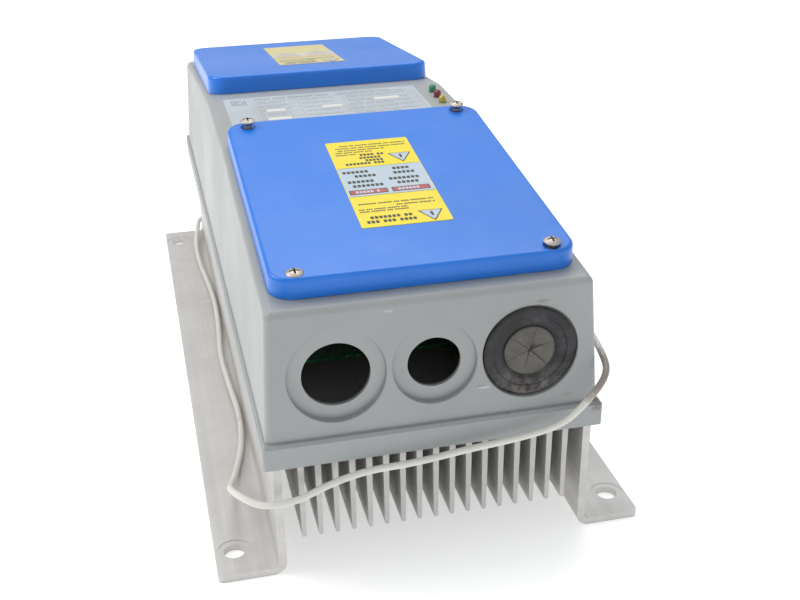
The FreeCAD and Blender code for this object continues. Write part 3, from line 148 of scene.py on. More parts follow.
# %% Light and floor
def area_light(name, place, target, size, power, colour):
    """A square soft box aimed at a point."""
    data = bpy.data.lights.new(name, "AREA")
    data.size = size
    data.energy = power
    data.color = colour
    lamp = bpy.data.objects.new(name, data)
    lamp.location = place
    lamp.rotation_euler = (Vector(target) - Vector(place)).to_track_quat("-Z", "Y").to_euler()
    bpy.context.scene.collection.objects.link(lamp)


area_light("key", place=(-1.3, 0.2, 1.3), target=(0, 0, 0.08), size=1.0, power=13.5,
           colour=(1.0, 0.98, 0.95))
area_light("overhead", place=(0.2, 0.7, 1.6), target=(0, 0, 0.1), size=1.4, power=14.5,
           colour=(0.98, 0.99, 1.0))
area_light("front_fill", place=(0.2, -1.9, 0.9), target=(0, 0, 0.1), size=1.4, power=3.4,
           colour=(1.0, 1.0, 1.0))

world = bpy.data.worlds.new("studio")
world.use_nodes = True
sky = world.node_tree.nodes["Background"].inputs
sky["Color"].default_value = (0.93, 0.96, 1.0, 1)
sky["Strength"].default_value = 0.5
bpy.context.scene.world = world
bpy.context.scene.view_settings.view_transform = "Standard"

FLOOR_REACH = 6.0
FLOOR_GAP = 0.2 * MM            # keeps the floor clear of the rails' undersides
floor_mesh = bpy.data.meshes.new("floor")
corners = [(-FLOOR_REACH, -FLOOR_REACH, 0), (FLOOR_REACH, -FLOOR_REACH, 0),
           (FLOOR_REACH, FLOOR_REACH, 0), (-FLOOR_REACH, FLOOR_REACH, 0)]
floor_mesh.from_pydata(corners, [], [(0, 1, 2, 3)])
studio_floor = bpy.data.objects.new("studio_floor", floor_mesh)
studio_floor.location.z = -FLOOR_GAP
bpy.context.scene.collection.objects.link(studio_floor)
print("three soft boxes and a floor")


# %% [markdown]
# ## Node helpers
# Materials are built from nodes in code.  Short helpers keep that readable: one adds a node and
# fills its sockets, others do sums, mixes, ramps and noise, and two make and place node groups.

# %% Node helpers
def add_node(tree, kind, sockets=None, **settings):
    """Add a shader node; socket values may be numbers, colours or other nodes' outputs."""
    made = tree.nodes.new("ShaderNode" + kind)
    for name, value in settings.items():
        setattr(made, name, value)
    for name, value in (sockets or {}).items():
        if isinstance(value, bpy.types.NodeSocket):
            tree.links.new(value, made.inputs[name])
        else:
            made.inputs[name].default_value = value
    return made


def maths(tree, operation, *values):
    """A Math node's result."""
    return add_node(tree, "Math", dict(enumerate(values)), operation=operation).outputs[0]


def weighted(tree, first, first_weight, second, second_weight):
    """The sum of two values, each times its own weight."""
    first_part = maths(tree, "MULTIPLY", first, first_weight)
    return maths(tree, "ADD", first_part, maths(tree, "MULTIPLY", second, second_weight))


def vector_maths(tree, operation, sockets):
    """A Vector Math node's vector result."""
    return add_node(tree, "VectorMath", sockets, operation=operation).outputs[0]


def mixed(tree, mask, first, second):
    """The first colour where the mask is 0 and the second where it is 1."""
    sockets = {0: mask, 6: first, 7: second}
    return add_node(tree, "Mix", sockets, data_type="RGBA", clamp_factor=True).outputs[2]


def ramped(tree, value, start, end, low=0.0, high=1.0):
    """Map a value from start..end to low..high, without overshoot."""
    sockets = {"Value": value, "From Min": start, "From Max": end, "To Min": low, "To Max": high}
    return add_node(tree, "MapRange", sockets, interpolation_type="SMOOTHSTEP").outputs[0]


def noise(tree, place, scale, detail=3.0, roughness=0.55):
    """Cloudy noise from 0 to 1 at a scale in features per metre."""
    sockets = {"Vector": place, "Scale": scale, "Detail": detail, "Roughness": roughness}
    return add_node(tree, "TexNoise", sockets).outputs["Fac"]


def object_place(tree):
    """The place on the piece, in metres in the frame's axes."""
    return add_node(tree, "TexCoord").outputs["Object"]


def stretched(tree, place, factors, turn=(0, 0, 0)):
    """A place turned and then squeezed along its axes, for streaks and brush marks."""
    turned = add_node(tree, "Mapping", {"Vector": place, "Rotation": turn})
    return add_node(tree, "Mapping", {"Vector": turned.outputs[0], "Scale": factors}).outputs[0]


def new_group(name, inputs, outputs):
    """An empty node group with float inputs and outputs; returns it with both ends."""
    group = bpy.data.node_groups.new(name, "ShaderNodeTree")
    for label, value in inputs.items():
        kind = "NodeSocketVector" if isinstance(value, tuple) else "NodeSocketFloat"
        socket = group.interface.new_socket(name=label, in_out="INPUT", socket_type=kind)
        socket.default_value = value
    for label in outputs:
        group.interface.new_socket(name=label, in_out="OUTPUT", socket_type="NodeSocketFloat")
    start = group.nodes.new("NodeGroupInput").outputs
    end = group.nodes.new("NodeGroupOutput").inputs
    return group, start, end


def use_group(tree, group, **values):
    """Place a group in a material; underscores in names stand for spaces."""
    made = tree.nodes.new("ShaderNodeGroup")
    made.node_tree = group
    for name, value in values.items():
        socket = made.inputs[name.replace("_", " ")]
        if isinstance(value, bpy.types.NodeSocket):
            tree.links.new(value, socket)
        else:
            socket.default_value = value
    return made.outputs


print("node helpers ready")


# %% [markdown]
# ## Shared effects
# Seven effects turn up again and again, so each is a node group that is built once: rubbed edges,
# painted shade with grime in corners, settled dust, fine scratches, a cloudy variation with its own
# small grain, the lines of drawn metal, and a single mark at a place.  Each gives out masks or
# heights only; the materials decide what colour they are.

# %% Rubbed edges
def make_rubbed_edges():
    """Finds convex edges by comparing the surface with a rounded copy of itself."""
    group, start, end = new_group(
        "rubbed_edges", {"Radius": 0.001, "Patchiness": 0.5, "Scale": 60.0}, ["Mask"])
    rounded = add_node(group, "Bevel", {"Radius": start["Radius"]}, samples=4)
    facing = add_node(group, "NewGeometry").outputs["Normal"]
    same = add_node(group, "VectorMath", {0: rounded.outputs[0], 1: facing}, operation="DOT_PRODUCT")
    edge = ramped(group, maths(group, "SUBTRACT", 1.0, same.outputs["Value"]), 0.02, 0.22)
    place = object_place(group)
    coarse = noise(group, place, start["Scale"], 4.0, 0.7)
    fine = noise(group, place, maths(group, "MULTIPLY", start["Scale"], 9.0), 2.0)
    broken = weighted(group, coarse, 0.75, fine, 0.25)
    patches = ramped(group, broken, start["Patchiness"], maths(group, "ADD", start["Patchiness"], 0.08))
    group.links.new(maths(group, "MULTIPLY", edge, patches), end["Mask"])
    return group


rubbed_edges = make_rubbed_edges()
print("group", rubbed_edges.name)


# %% Painted shade and grime in corners
def make_corner_grime():
    """Painted shade and dirt where surfaces crowd together, found by ambient occlusion and broken up by
    noise.
    """
    group, start, end = new_group("corner_grime", {"Reach": 0.004, "Scale": 90.0}, ["Mask"])
    # ambient occlusion marks where shade falls; this mask paints that shade, with grime, into the colour
    shade = add_node(group, "AmbientOcclusion", {"Distance": start["Reach"]}, samples=6)
    closed = ramped(group, maths(group, "SUBTRACT", 1.0, shade.outputs["AO"]), 0.15, 0.75)
    cloud = noise(group, object_place(group), start["Scale"], 4.0, 0.65)
    patches = ramped(group, cloud, 0.3, 0.62, 0.35, 1.0)
    group.links.new(maths(group, "MULTIPLY", closed, patches), end["Mask"])
    return group


corner_grime = make_corner_grime()
print("group", corner_grime.name)


# %% Settled dust
def make_settled_dust():
    """A thin veil of dust on whatever faces up."""
    group, start, end = new_group("settled_dust", {"Scale": 35.0}, ["Mask"])
    normal = add_node(group, "NewGeometry").outputs["Normal"]
    upward = add_node(group, "SeparateXYZ", {0: normal}).outputs["Z"]
    level = ramped(group, upward, 0.35, 0.95)
    place = object_place(group)
    cloud = ramped(group, noise(group, place, start["Scale"], 5.0, 0.6), 0.35, 0.75)
    specks = ramped(group, noise(group, place, 1400.0, 1.0), 0.62, 0.72)
    veil = weighted(group, cloud, 0.8, specks, 0.5)
    group.links.new(maths(group, "MULTIPLY", level, veil), end["Mask"])
    return group


settled_dust = make_settled_dust()
print("group", settled_dust.name)


# %% Fine scratches
def make_fine_scratches():
    """Long thin marks in three directions, each layer thinned out by a coarse mask."""
    group, start, end = new_group("fine_scratches", {"Scale": 1.0, "Amount": 0.5}, ["Mask"])
    place = object_place(group)
    total = None
    for number, (turn, length) in enumerate(((0.4, 9.0), (1.5, 14.0), (2.5, 6.0))):
        lines = stretched(group, place, (900.0, length, 300.0), (0, 0, turn))
        lines = vector_maths(group, "SCALE", {0: lines, "Scale": start["Scale"]})
        line = ramped(group, noise(group, lines, 1.0, 1.0), 0.70, 0.76)
        cloud = noise(group, stretched(group, place, (1, 1, 1), (0, 0, number)), 22.0 + 7 * number, 2.0)
        limit = maths(group, "SUBTRACT", 0.85, maths(group, "MULTIPLY", start["Amount"], 0.5))
        line = maths(group, "MULTIPLY", line, ramped(group, cloud, limit, maths(group, "ADD", limit, 0.1)))
        total = line if total is None else maths(group, "MAXIMUM", total, line)
    group.links.new(total, end["Mask"])
    return group


fine_scratches = make_fine_scratches()
print("group", fine_scratches.name)


# %% Cloud and grain
def make_cloud_and_grain():
    """Slow variation of tone, and the small height of a moulded or painted skin."""
    group, start, end = new_group(
        "cloud_and_grain", {"Cloud Scale": 12.0, "Grain Scale": 1200.0}, ["Cloud", "Grain"])
    place = object_place(group)
    group.links.new(noise(group, place, start["Cloud Scale"], 4.0, 0.6), end["Cloud"])
    grain = noise(group, place, start["Grain Scale"], 2.0, 0.5)
    swell = noise(group, place, maths(group, "MULTIPLY", start["Grain Scale"], 0.12), 2.0, 0.5)
    both = weighted(group, grain, 0.4, swell, 0.6)
    group.links.new(both, end["Grain"])
    return group


cloud_and_grain = make_cloud_and_grain()
print("group", cloud_and_grain.name)


# %% Drawn marks
def make_draw_marks():
    """Lengthwise lines of extruded or brushed metal; Along squeezes the place along the lines."""
    group, start, end = new_group("draw_marks", {"Along": (900.0, 6.0, 900.0)}, ["Lines"])
    place = object_place(group)
    squeezed = add_node(group, "Mapping", {"Vector": place, "Scale": start["Along"]}).outputs[0]
    wide = noise(group, squeezed, 0.35, 2.0)
    thin = noise(group, squeezed, 1.6, 3.0, 0.7)
    both = weighted(group, wide, 0.5, thin, 0.5)
    group.links.new(both, end["Lines"])
    return group


draw_marks = make_draw_marks()
print("group", draw_marks.name)


# %% Single marks
def make_single_mark():
    """One soft-edged scuff or stain at a place, with its own size along each axis."""
    group, start, end = new_group(
        "single_mark", {"Centre": (0.0, 0.0, 0.0), "Size": (0.01, 0.01, 0.01), "Scale": 400.0}, ["Mask"])
    place = object_place(group)
    away = vector_maths(group, "SUBTRACT", {0: place, 1: start["Centre"]})
    share = vector_maths(group, "DIVIDE", {0: away, 1: start["Size"]})
    reach = add_node(group, "VectorMath", {0: share}, operation="LENGTH").outputs["Value"]
    near = ramped(group, reach, 0.25, 1.0, 1.0, 0.0)
    torn = noise(group, place, start["Scale"], 4.0, 0.7)
    ragged = ramped(group, maths(group, "ADD", torn, maths(group, "MULTIPLY", near, 0.5)), 0.72, 0.86)
    group.links.new(maths(group, "MULTIPLY", ragged, near), end["Mask"])
    return group


single_mark = make_single_mark()
print("group", single_mark.name)


# %% [markdown]
# ## The general finish
# Most finishes share one order of work, as on the real thing: a base tone that drifts a little,
# scratches, rubbed edges that show what is beneath, grime pushed into corners together with painted
# shade there, then dust on top.
# One builder takes those amounts and makes a material; what is special about a finish, such as
# the lines of an extrusion or a stain, is added to the result.

# %% General finish
WHITE_DUST = (0.60, 0.58, 0.53, 1)
# dark colour of the painted shade and grime laid into corners
SHADE_AND_GRIME_DARK = (0.06, 0.05, 0.042, 1)


class Finish:
    """A material in the making: a Principled shader with its colour, roughness and height so far."""

    def __init__(self, name, colour, roughness, metallic=0.0):
        self.material = bpy.data.materials.new(name)
        self.material.use_nodes = True
        self.tree = self.material.node_tree
        self.shader = self.tree.nodes["Principled BSDF"]
        self.shader.inputs["Metallic"].default_value = metallic
        self.colour = (*colour, 1)
        self.roughness = roughness
        self.height = None

    def tone(self, mask, colour, share=1.0):
        """Lay a colour over the finish where a mask says."""
        strength = maths(self.tree, "MULTIPLY", mask, share)
        self.colour = mixed(self.tree, strength, self.colour, (*colour[:3], 1))

    def roughen(self, mask, amount):
        """Add to the roughness where a mask says."""
        change = maths(self.tree, "MULTIPLY", mask, amount)
        self.roughness = maths(self.tree, "ADD", self.roughness, change)

    def raise_by(self, value, amount):
        """Add a height, in units of the bump distance."""
        change = maths(self.tree, "MULTIPLY", value, amount)
        self.height = change if self.height is None else maths(self.tree, "ADD", self.height, change)

    def done(self, bump_distance=0.0004, bump_strength=0.5):
        """Connect what was gathered and hand over the material."""
        self.tree.links.new(self.colour, self.shader.inputs["Base Color"])
        clamped = add_node(self.tree, "Clamp", {"Value": self.roughness, "Min": 0.05, "Max": 1.0})
        self.tree.links.new(clamped.outputs[0], self.shader.inputs["Roughness"])
        if self.height is not None:
            bump = add_node(self.tree, "Bump", {"Height": self.height, "Distance": bump_distance,
                                                "Strength": bump_strength})
            self.tree.links.new(bump.outputs[0], self.shader.inputs["Normal"])
        return self.material


def general_finish(name, colour, roughness, metallic=0.0, drift=0.12, cloud_scale=14.0,
                   grain_scale=1200.0, grain=0.25, rub=0.0, rub_colour=(0.7, 0.7, 0.7),
                   rub_radius=0.0008, scratches=0.0, grime=0.0, grime_reach=0.004, dust=0.0):
    """A used surface: drifting tone, grain, rubbed edges, scratches, painted shade with grime in corners,
    and dust.
    """
    made = Finish(name, colour, roughness, metallic)
    tree = made.tree
    skin = use_group(tree, cloud_and_grain, Cloud_Scale=cloud_scale, Grain_Scale=grain_scale)
    darker = tuple(channel * (1 - drift) for channel in colour)
    made.tone(ramped(tree, skin["Cloud"], 0.35, 0.7), darker)
    made.roughen(ramped(tree, skin["Cloud"], 0.3, 0.7, -0.5, 0.5), 0.12)
    made.raise_by(skin["Grain"], grain)
    if scratches:
        lines = use_group(tree, fine_scratches, Amount=scratches)["Mask"]
        lighter = tuple(min(1.0, channel * 1.25 + 0.05) for channel in colour)
        made.tone(lines, lighter, 0.35)
        made.roughen(lines, 0.15)
        made.raise_by(lines, -0.15)
    if rub:
        bare = use_group(tree, rubbed_edges, Radius=rub_radius, Patchiness=0.62 - 0.2 * rub)["Mask"]
        made.tone(bare, rub_colour, 0.85)
        made.roughen(bare, 0.12)
    # painted shade: the occlusion mask darkens corners, crevices and gaps where shade falls, together with
    # grime
    if grime:
        shade_and_dirt = use_group(tree, corner_grime, Reach=grime_reach)["Mask"]
        made.tone(shade_and_dirt, SHADE_AND_GRIME_DARK, grime)
        made.roughen(shade_and_dirt, 0.25)
    if dust:
        veil = use_group(tree, settled_dust)["Mask"]
        made.tone(veil, WHITE_DUST, dust)
        made.roughen(veil, 0.3 * dust)
    return made


finishes = {}
print("general finish ready")


# %% [markdown]
# ## Housing
# The housing is moulded in light grey with a faint orange-peel skin.  Hands and tools have left
# scuffs beside the rubber grommet and near the top of the end face, and brown grime above the
# grommet and on the skirt's right corner.  Those are single marks, placed from the pieces that
# they are next to.

# %% Housing grey
def make_housing_grey():
    """Light grey moulding with its own scuffs and stains."""
    made = general_finish("housing_grey", (0.368, 0.383, 0.379), 0.42, drift=0.07, cloud_scale=9.0,
                          grain_scale=900.0, grain=0.22, rub=0.25, rub_colour=(0.62, 0.63, 0.61),
                          scratches=0.25, grime=0.14, grime_reach=0.002, dust=0.08)
    grommet = middle("cable_grommet")
    face_y = housing_low.y + SKIRT_REACH + 2 * MM
    skirt_y = housing_low.y + 0.004
    corner_x = housing_high.x
    base_z = housing_low.z
    # Each mark has a centre, a size along each axis, a colour and a strength.
    marks = [
        # pale and dark scuffs, side by side, below left of the grommet
        ((grommet.x - 0.0255, face_y, grommet.z - 0.0175), (0.006, 0.01, 0.0008), (0.7, 0.71, 0.7), 0.7),
        ((grommet.x - 0.0275, face_y, grommet.z - 0.0160), (0.005, 0.01, 0.0006), (0.2, 0.2, 0.2), 0.6),
        # brown dirt above the grommet, and a speck below it
        ((grommet.x + 0.006, face_y + 0.002, grommet.z + 0.0285), (0.006, 0.01, 0.002),
         (0.2, 0.16, 0.10), 0.4),
        ((grommet.x - 0.013, face_y, grommet.z - 0.034), (0.002, 0.01, 0.0015), (0.22, 0.2, 0.17), 0.4),
        # a knock at the top of the end face, and a speck on its lower edge
        ((-0.024, face_y + 0.004, base_z + 0.081), (0.005, 0.01, 0.0012), (0.6, 0.62, 0.62), 0.5),
        ((-0.045, face_y, base_z + 0.005), (0.004, 0.01, 0.002), (0.2, 0.19, 0.17), 0.4),
        # grime on the skirt's right corner and a streak beside it
        ((corner_x - 0.004, skirt_y, base_z + 0.011), (0.010, 0.008, 0.006), (0.12, 0.08, 0.06), 0.8),
        ((corner_x - 0.02, skirt_y, base_z + 0.02), (0.007, 0.01, 0.0015), (0.3, 0.27, 0.22), 0.35),
    ]
    for centre, size, colour, share in marks:
        mark = use_group(made.tree, single_mark, Centre=centre, Size=size, Scale=700.0)["Mask"]
        made.tone(mark, colour, share)
        made.roughen(mark, 0.2)
    return made.done(0.0004, 0.35)


finishes["housing_grey"] = make_housing_grey()
print("finish", finishes["housing_grey"].name)


# %% [markdown]
# ## Blue covers
# The covers are a deep blue plastic with a soft gloss.  The top face catches the overhead light
# and looks paler than the steep sides.  Plastic wears to a pale blue where it has knocked against
# things: along the near edge, the left side and the corners.

# %% Cover blue
def make_cover_blue():
    """Deep blue plastic, knocked pale along the terminal cover's near edge and corners."""
    made = general_finish("cover_blue", (0.008, 0.19, 0.76), 0.34, drift=0.10, cloud_scale=6.0,
                          grain_scale=1500.0, grain=0.10, rub=0.55, rub_colour=(0.38, 0.52, 0.86),
                          rub_radius=0.0007, scratches=0.45, grime=0.25, grime_reach=0.003, dust=0.05)
    cover_low, cover_high = (Vector(corner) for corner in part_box("terminal_cover"))
    front = cover_low.y
    rim = cover_low.z + 0.0165
    # Each mark has a centre, a size along each axis and a strength.
    marks = [
        ((-0.006, front + 0.003, rim), (0.016, 0.008, 0.0035), 0.9),
        ((-0.030, front + 0.004, rim), (0.008, 0.006, 0.002), 0.7),
        ((0.030, front + 0.004, rim - 0.002), (0.006, 0.006, 0.002), 0.5),
        ((cover_low.x + 0.001, front + 0.05, rim + 0.006), (0.004, 0.012, 0.004), 0.8),
        ((cover_low.x + 0.004, front + 0.008, rim), (0.005, 0.006, 0.003), 0.8),
        ((cover_high.x - 0.005, front + 0.006, rim), (0.004, 0.006, 0.004), 0.6),
    ]
    for centre, size, share in marks:
        mark = use_group(made.tree, single_mark, Centre=centre, Size=size, Scale=900.0)["Mask"]
        made.tone(mark, (0.66, 0.74, 0.9), share)
        made.roughen(mark, 0.25)
    made.shader.inputs["Coat Weight"].default_value = 0.12
    made.shader.inputs["Coat Roughness"].default_value = 0.20
    return made.done(0.0003, 0.3)


finishes["cover_blue"] = make_cover_blue()
print("finish", finishes["cover_blue"].name)


# %% [markdown]
# ## Bare metal
# The heatsink is an extrusion, so fine lines run along it, and years of moving air have packed
# grey dust between the fins.  The rails are plain rolled plate: dull, with handling scratches and
# smears.  Zinc plating is slightly yellow, and the stainless cover screws have dulled to brown.

# %% Heatsink aluminium
def make_metal(name, colour, roughness, along, line_height, line_tone, metallic=1.0, **wear):
    """A metal with lines drawn along one axis."""
    made = general_finish(name, colour, roughness, metallic=metallic, **wear)
    lines = use_group(made.tree, draw_marks, Along=along)["Lines"]
    shade = ramped(made.tree, lines, 0.35, 0.65)
    made.tone(shade, tuple(channel * 0.8 for channel in colour), line_tone)
    made.roughen(ramped(made.tree, lines, 0.3, 0.7, -0.5, 0.5), 0.18)
    made.raise_by(lines, line_height)
    return made


def make_heatsink_aluminium():
    """A dull extrusion with grey dust between its fins, and painted shade with dark grime deep in the gaps.
    """
    # the 10 mm occlusion reach paints shade, with grime, dark between the fins
    made = make_metal("heatsink_aluminium", (0.55, 0.54, 0.52), 0.42, (900.0, 5.0, 900.0), 0.5, 0.4,
                      metallic=0.35, drift=0.10, grain=0.1, scratches=0.2, grime=0.22,
                      grime_reach=0.010, dust=0.25)
    return made.done(0.0003, 0.35)


def make_rail_aluminium():
    """Rolled plate with handling scratches and smears."""
    made = make_metal("rail_aluminium", (0.66, 0.645, 0.625), 0.50, (500.0, 4.0, 500.0), 0.35, 0.35,
                      metallic=0.35, drift=0.10, cloud_scale=20.0, grain=0.2, rub=0.3,
                      rub_colour=(0.9, 0.9, 0.88), scratches=0.8, grime=0.30, grime_reach=0.004,
                      dust=0.18)
    smear = ramped(made.tree, noise(made.tree, object_place(made.tree), 45.0, 5.0, 0.7), 0.55, 0.75)
    made.tone(smear, (0.45, 0.42, 0.38), 0.30)
    return made.done(0.0003, 0.4)


finishes["aluminium"] = make_heatsink_aluminium()
finishes["rail_aluminium"] = make_rail_aluminium()
print("finishes for heatsink and rails")


# %% Plated and plain steel, brass and copper
def simple_metal(name, colour, roughness, rub_colour, grime, metallic=1.0):
    """A small metal part: faint lines, rubbed edges, and painted shade with grime in its corners."""
    along = (700.0, 20.0, 700.0)
    made = make_metal(name, colour, roughness, along, 0.25, 0.3, metallic=metallic, drift=0.12,
                      cloud_scale=60.0, grain=0.15, rub=0.4, rub_colour=rub_colour, rub_radius=0.0004,
                      scratches=0.4, grime=grime, grime_reach=0.0025, dust=0.08)
    return made.done(0.0002, 0.4)


finishes["zinc"] = simple_metal("zinc", (0.66, 0.65, 0.60), 0.36, (0.8, 0.8, 0.78), 0.35)
# the stainless screws get strong painted shade, with grime, in their cross recesses and under their heads
finishes["stainless"] = simple_metal("stainless", (0.56, 0.51, 0.46), 0.48, (0.78, 0.74, 0.7), 0.9,
                                     metallic=0.8)
finishes["brass"] = simple_metal("brass", (0.72, 0.53, 0.24), 0.32, (0.85, 0.7, 0.4), 0.4)
finishes["guard_wire"] = simple_metal("guard_wire", (0.74, 0.74, 0.72), 0.22, (0.85, 0.85, 0.85),
                                      0.35)
print("plated metals ready")


# %% [markdown]
# ## Copper windings
# The choke's windings are enamelled wire laid side by side round a ring.  The turns follow the
# ring, so their ridges come from the angle round its axis.

# %% Copper windings
def make_copper_windings():
    """Enamelled wire: one ridge for each turn round the choke's axis."""
    made = general_finish("copper_windings", (0.55, 0.22, 0.07), 0.30, metallic=0.9, drift=0.2,
                          cloud_scale=80.0, grain=0.1, grime=0.4, grime_reach=0.003)
    tree = made.tree
    centre = tuple(middle("choke_core"))
    turn_count = 96.0
    away = vector_maths(tree, "SUBTRACT", {0: object_place(tree), 1: centre})
    parts = add_node(tree, "SeparateXYZ", {0: away}).outputs
    angle = maths(tree, "ARCTAN2", parts["Y"], parts["X"])
    turns = maths(tree, "SINE", maths(tree, "MULTIPLY", angle, turn_count))
    made.raise_by(turns, 0.8)
    # painted shade: the valleys between the turns of wire are darkened
    made.tone(ramped(tree, turns, -1.0, -0.4, 1.0, 0.0), (0.10, 0.03, 0.01), 0.8)
    return made.done(0.0005, 0.8)


finishes["copper_wire"] = make_copper_windings()
print("finish", finishes["copper_wire"].name)


# %% [markdown]
# ## Plastics and foam
# The remaining finishes differ only in tone, gloss and how dirty they are, so they are made from
# one table.  Foam is matt and holds dust; a capacitor's sleeve is glossy; the moulded blocks sit
# between.

# %% Plain finishes
plain_finishes = {
    "foam": dict(colour=(0.035, 0.035, 0.035), roughness=0.95, grain=0.9, grain_scale=900.0, dust=0.15),
    "terminal_black": dict(colour=(0.022, 0.022, 0.024), roughness=0.42, grain=0.3, scratches=0.3,
                           dust=0.35, grime=0.3),
    "module_plastic": dict(colour=(0.030, 0.030, 0.032), roughness=0.5, grain=0.5, dust=0.3),
    "capacitor_sleeve": dict(colour=(0.018, 0.022, 0.05), roughness=0.25, grain=0.1, dust=0.25,
                             scratches=0.2),
    "ferrite": dict(colour=(0.07, 0.10, 0.05), roughness=0.45, grain=0.4, dust=0.2),
    "marker_white": dict(colour=(0.82, 0.82, 0.78), roughness=0.5, grain=0.2, grime=0.3),
    "terminal_green": dict(colour=(0.02, 0.22, 0.07), roughness=0.38, grain=0.25, dust=0.25, grime=0.4),
    "fan_black": dict(colour=(0.020, 0.020, 0.021), roughness=0.45, grain=0.4, dust=0.45, grime=0.2,
                      rub=0.2, rub_colour=(0.12, 0.12, 0.12)),
    "plug_white": dict(colour=(0.80, 0.78, 0.70), roughness=0.45, grain=0.2, grime=0.4),
}
for slot_name, recipe in plain_finishes.items():
    recipe = dict(recipe)
    made = general_finish(slot_name, recipe.pop("colour"), recipe.pop("roughness"), **recipe)
    finishes[slot_name] = made.done()
print(len(plain_finishes), "plain finishes")


# %% [markdown]
# ## Circuit boards
# A board is green solder mask over copper tracks.  The tracks are raised a hair and show through
# as a lighter green.  Rings of square Voronoi cells give runs that turn at right angles; small
# dots stand for plated holes.

# %% Circuit boards
def make_board_green():
    """Solder mask with raised tracks and plated holes."""
    made = general_finish("board_green", (0.010, 0.085, 0.035), 0.34, drift=0.12, cloud_scale=30.0,
                          grain=0.15, dust=0.22, grime=0.2)
    tree = made.tree
    place = object_place(tree)
    wander = add_node(tree, "TexVoronoi", {"Vector": place, "Scale": 110.0}, distance="CHEBYCHEV")
    cells = maths(tree, "FRACT", maths(tree, "MULTIPLY", wander.outputs["Distance"], 9.0))
    from_middle = maths(tree, "ABSOLUTE", maths(tree, "SUBTRACT", cells, 0.5))
    track = ramped(tree, from_middle, 0.12, 0.2, 1.0, 0.0)
    made.tone(track, (0.03, 0.24, 0.085), 0.75)
    made.raise_by(track, 0.35)
    dots = add_node(tree, "TexVoronoi", {"Vector": place, "Scale": 260.0, "Randomness": 0.8})
    holes = ramped(tree, dots.outputs["Distance"], 0.10, 0.16, 1.0, 0.0)
    made.tone(holes, (0.60, 0.57, 0.45), 0.8)
    made.shader.inputs["Coat Weight"].default_value = 0.3
    return made.done(0.0003, 0.5)


finishes["board_green"] = make_board_green()
print("finish", finishes["board_green"].name)


# %% [markdown]
# ## Rubber grommet and membrane
# The grommet is black rubber, dusty all over and smeared brown where a cable was pulled through,
# most of all along its lower edge.

# %% Rubber
def make_black_rubber():
    """Dusty black rubber, smeared brown low down on the grommet."""
    made = general_finish("black_rubber", (0.013, 0.013, 0.015), 0.55, drift=0.2, cloud_scale=40.0,
                          grain=0.5, grain_scale=1600.0, scratches=0.5, dust=0.2, rub=0.3,
                          rub_colour=(0.16, 0.15, 0.15), rub_radius=0.0006)
    tree = made.tree
    place = object_place(tree)
    grommet = tuple(middle("cable_grommet"))
    away = vector_maths(tree, "SUBTRACT", {0: place, 1: grommet})
    height = add_node(tree, "SeparateXYZ", {0: away}).outputs["Z"]
    low_down = ramped(tree, height, -0.026, -0.004, 1.0, 0.0)
    patches = ramped(tree, noise(tree, place, 130.0, 5.0, 0.7), 0.42, 0.68)
    made.tone(maths(tree, "MULTIPLY", low_down, patches), (0.23, 0.19, 0.165), 0.75)
    haze = ramped(tree, noise(tree, place, 70.0, 4.0, 0.6), 0.45, 0.8)
    made.tone(haze, (0.12, 0.12, 0.125), 0.40)
    return made.done(0.0004, 0.5)


def make_grey_membrane():
    """Blotched grey rubber, rubbed pale along its slits."""
    made = general_finish("grey_membrane", (0.125, 0.118, 0.105), 0.7, drift=0.25, cloud_scale=120.0,
                          grain=0.6, grain_scale=1500.0, scratches=0.5, rub=0.9,
                          rub_colour=(0.48, 0.47, 0.44), rub_radius=0.0006, grime=0.4, grime_reach=0.002)
    blots = ramped(made.tree, noise(made.tree, object_place(made.tree), 260.0, 4.0, 0.7), 0.5, 0.7)
    made.tone(blots, (0.10, 0.09, 0.08), 0.6)
    return made.done(0.0004, 0.6)


finishes["black_rubber"] = make_black_rubber()
finishes["grey_membrane"] = make_grey_membrane()
print("rubber finishes")


# %% [markdown]
# ## Lamps, films and lead
# The lamps are tinted clear lenses: a little light passes through, so part of the shader is
# transmission.  The label films are printed and slightly glossy.  The lead's white jacket has
# brown dirt at its bend by the near right corner and fainter grey patches elsewhere.

# %% Lamps
def make_lamp(name, colour):
    """A tinted clear lens."""
    made = general_finish(name, colour, 0.16, drift=0.25, cloud_scale=500.0, grain=0.1, dust=0.12,
                          grime=0.5, grime_reach=0.002)
    made.shader.inputs["Transmission Weight"].default_value = 0.35
    made.shader.inputs["Coat Weight"].default_value = 0.6
    made.shader.inputs["IOR"].default_value = 1.49
    return made.done(0.0002, 0.2)


finishes["lamp_yellow"] = make_lamp("lamp_yellow", (0.72, 0.58, 0.08))
finishes["lamp_red"] = make_lamp("lamp_red", (0.36, 0.02, 0.04))
finishes["lamp_green"] = make_lamp("lamp_green", (0.03, 0.36, 0.14))
print("lamp finishes")


# %% Films, inks and lead
def make_film(name, colour, roughness=0.34):
    """Printed film or ink, slightly glossy."""
    made = general_finish(name, colour, roughness, drift=0.05, cloud_scale=30.0, grain=0.2,
                          grain_scale=2200.0, scratches=0.3, dust=0.06)
    return made.done(0.0002, 0.25)


def make_plate_film():
    """The rating plate's pale film, faded and scratched."""
    made = general_finish("plate_film", (0.52, 0.57, 0.61), 0.36, drift=0.14, cloud_scale=24.0,
                          grain=0.2, scratches=0.7, dust=0.1)
    return made.done(0.0002, 0.3)


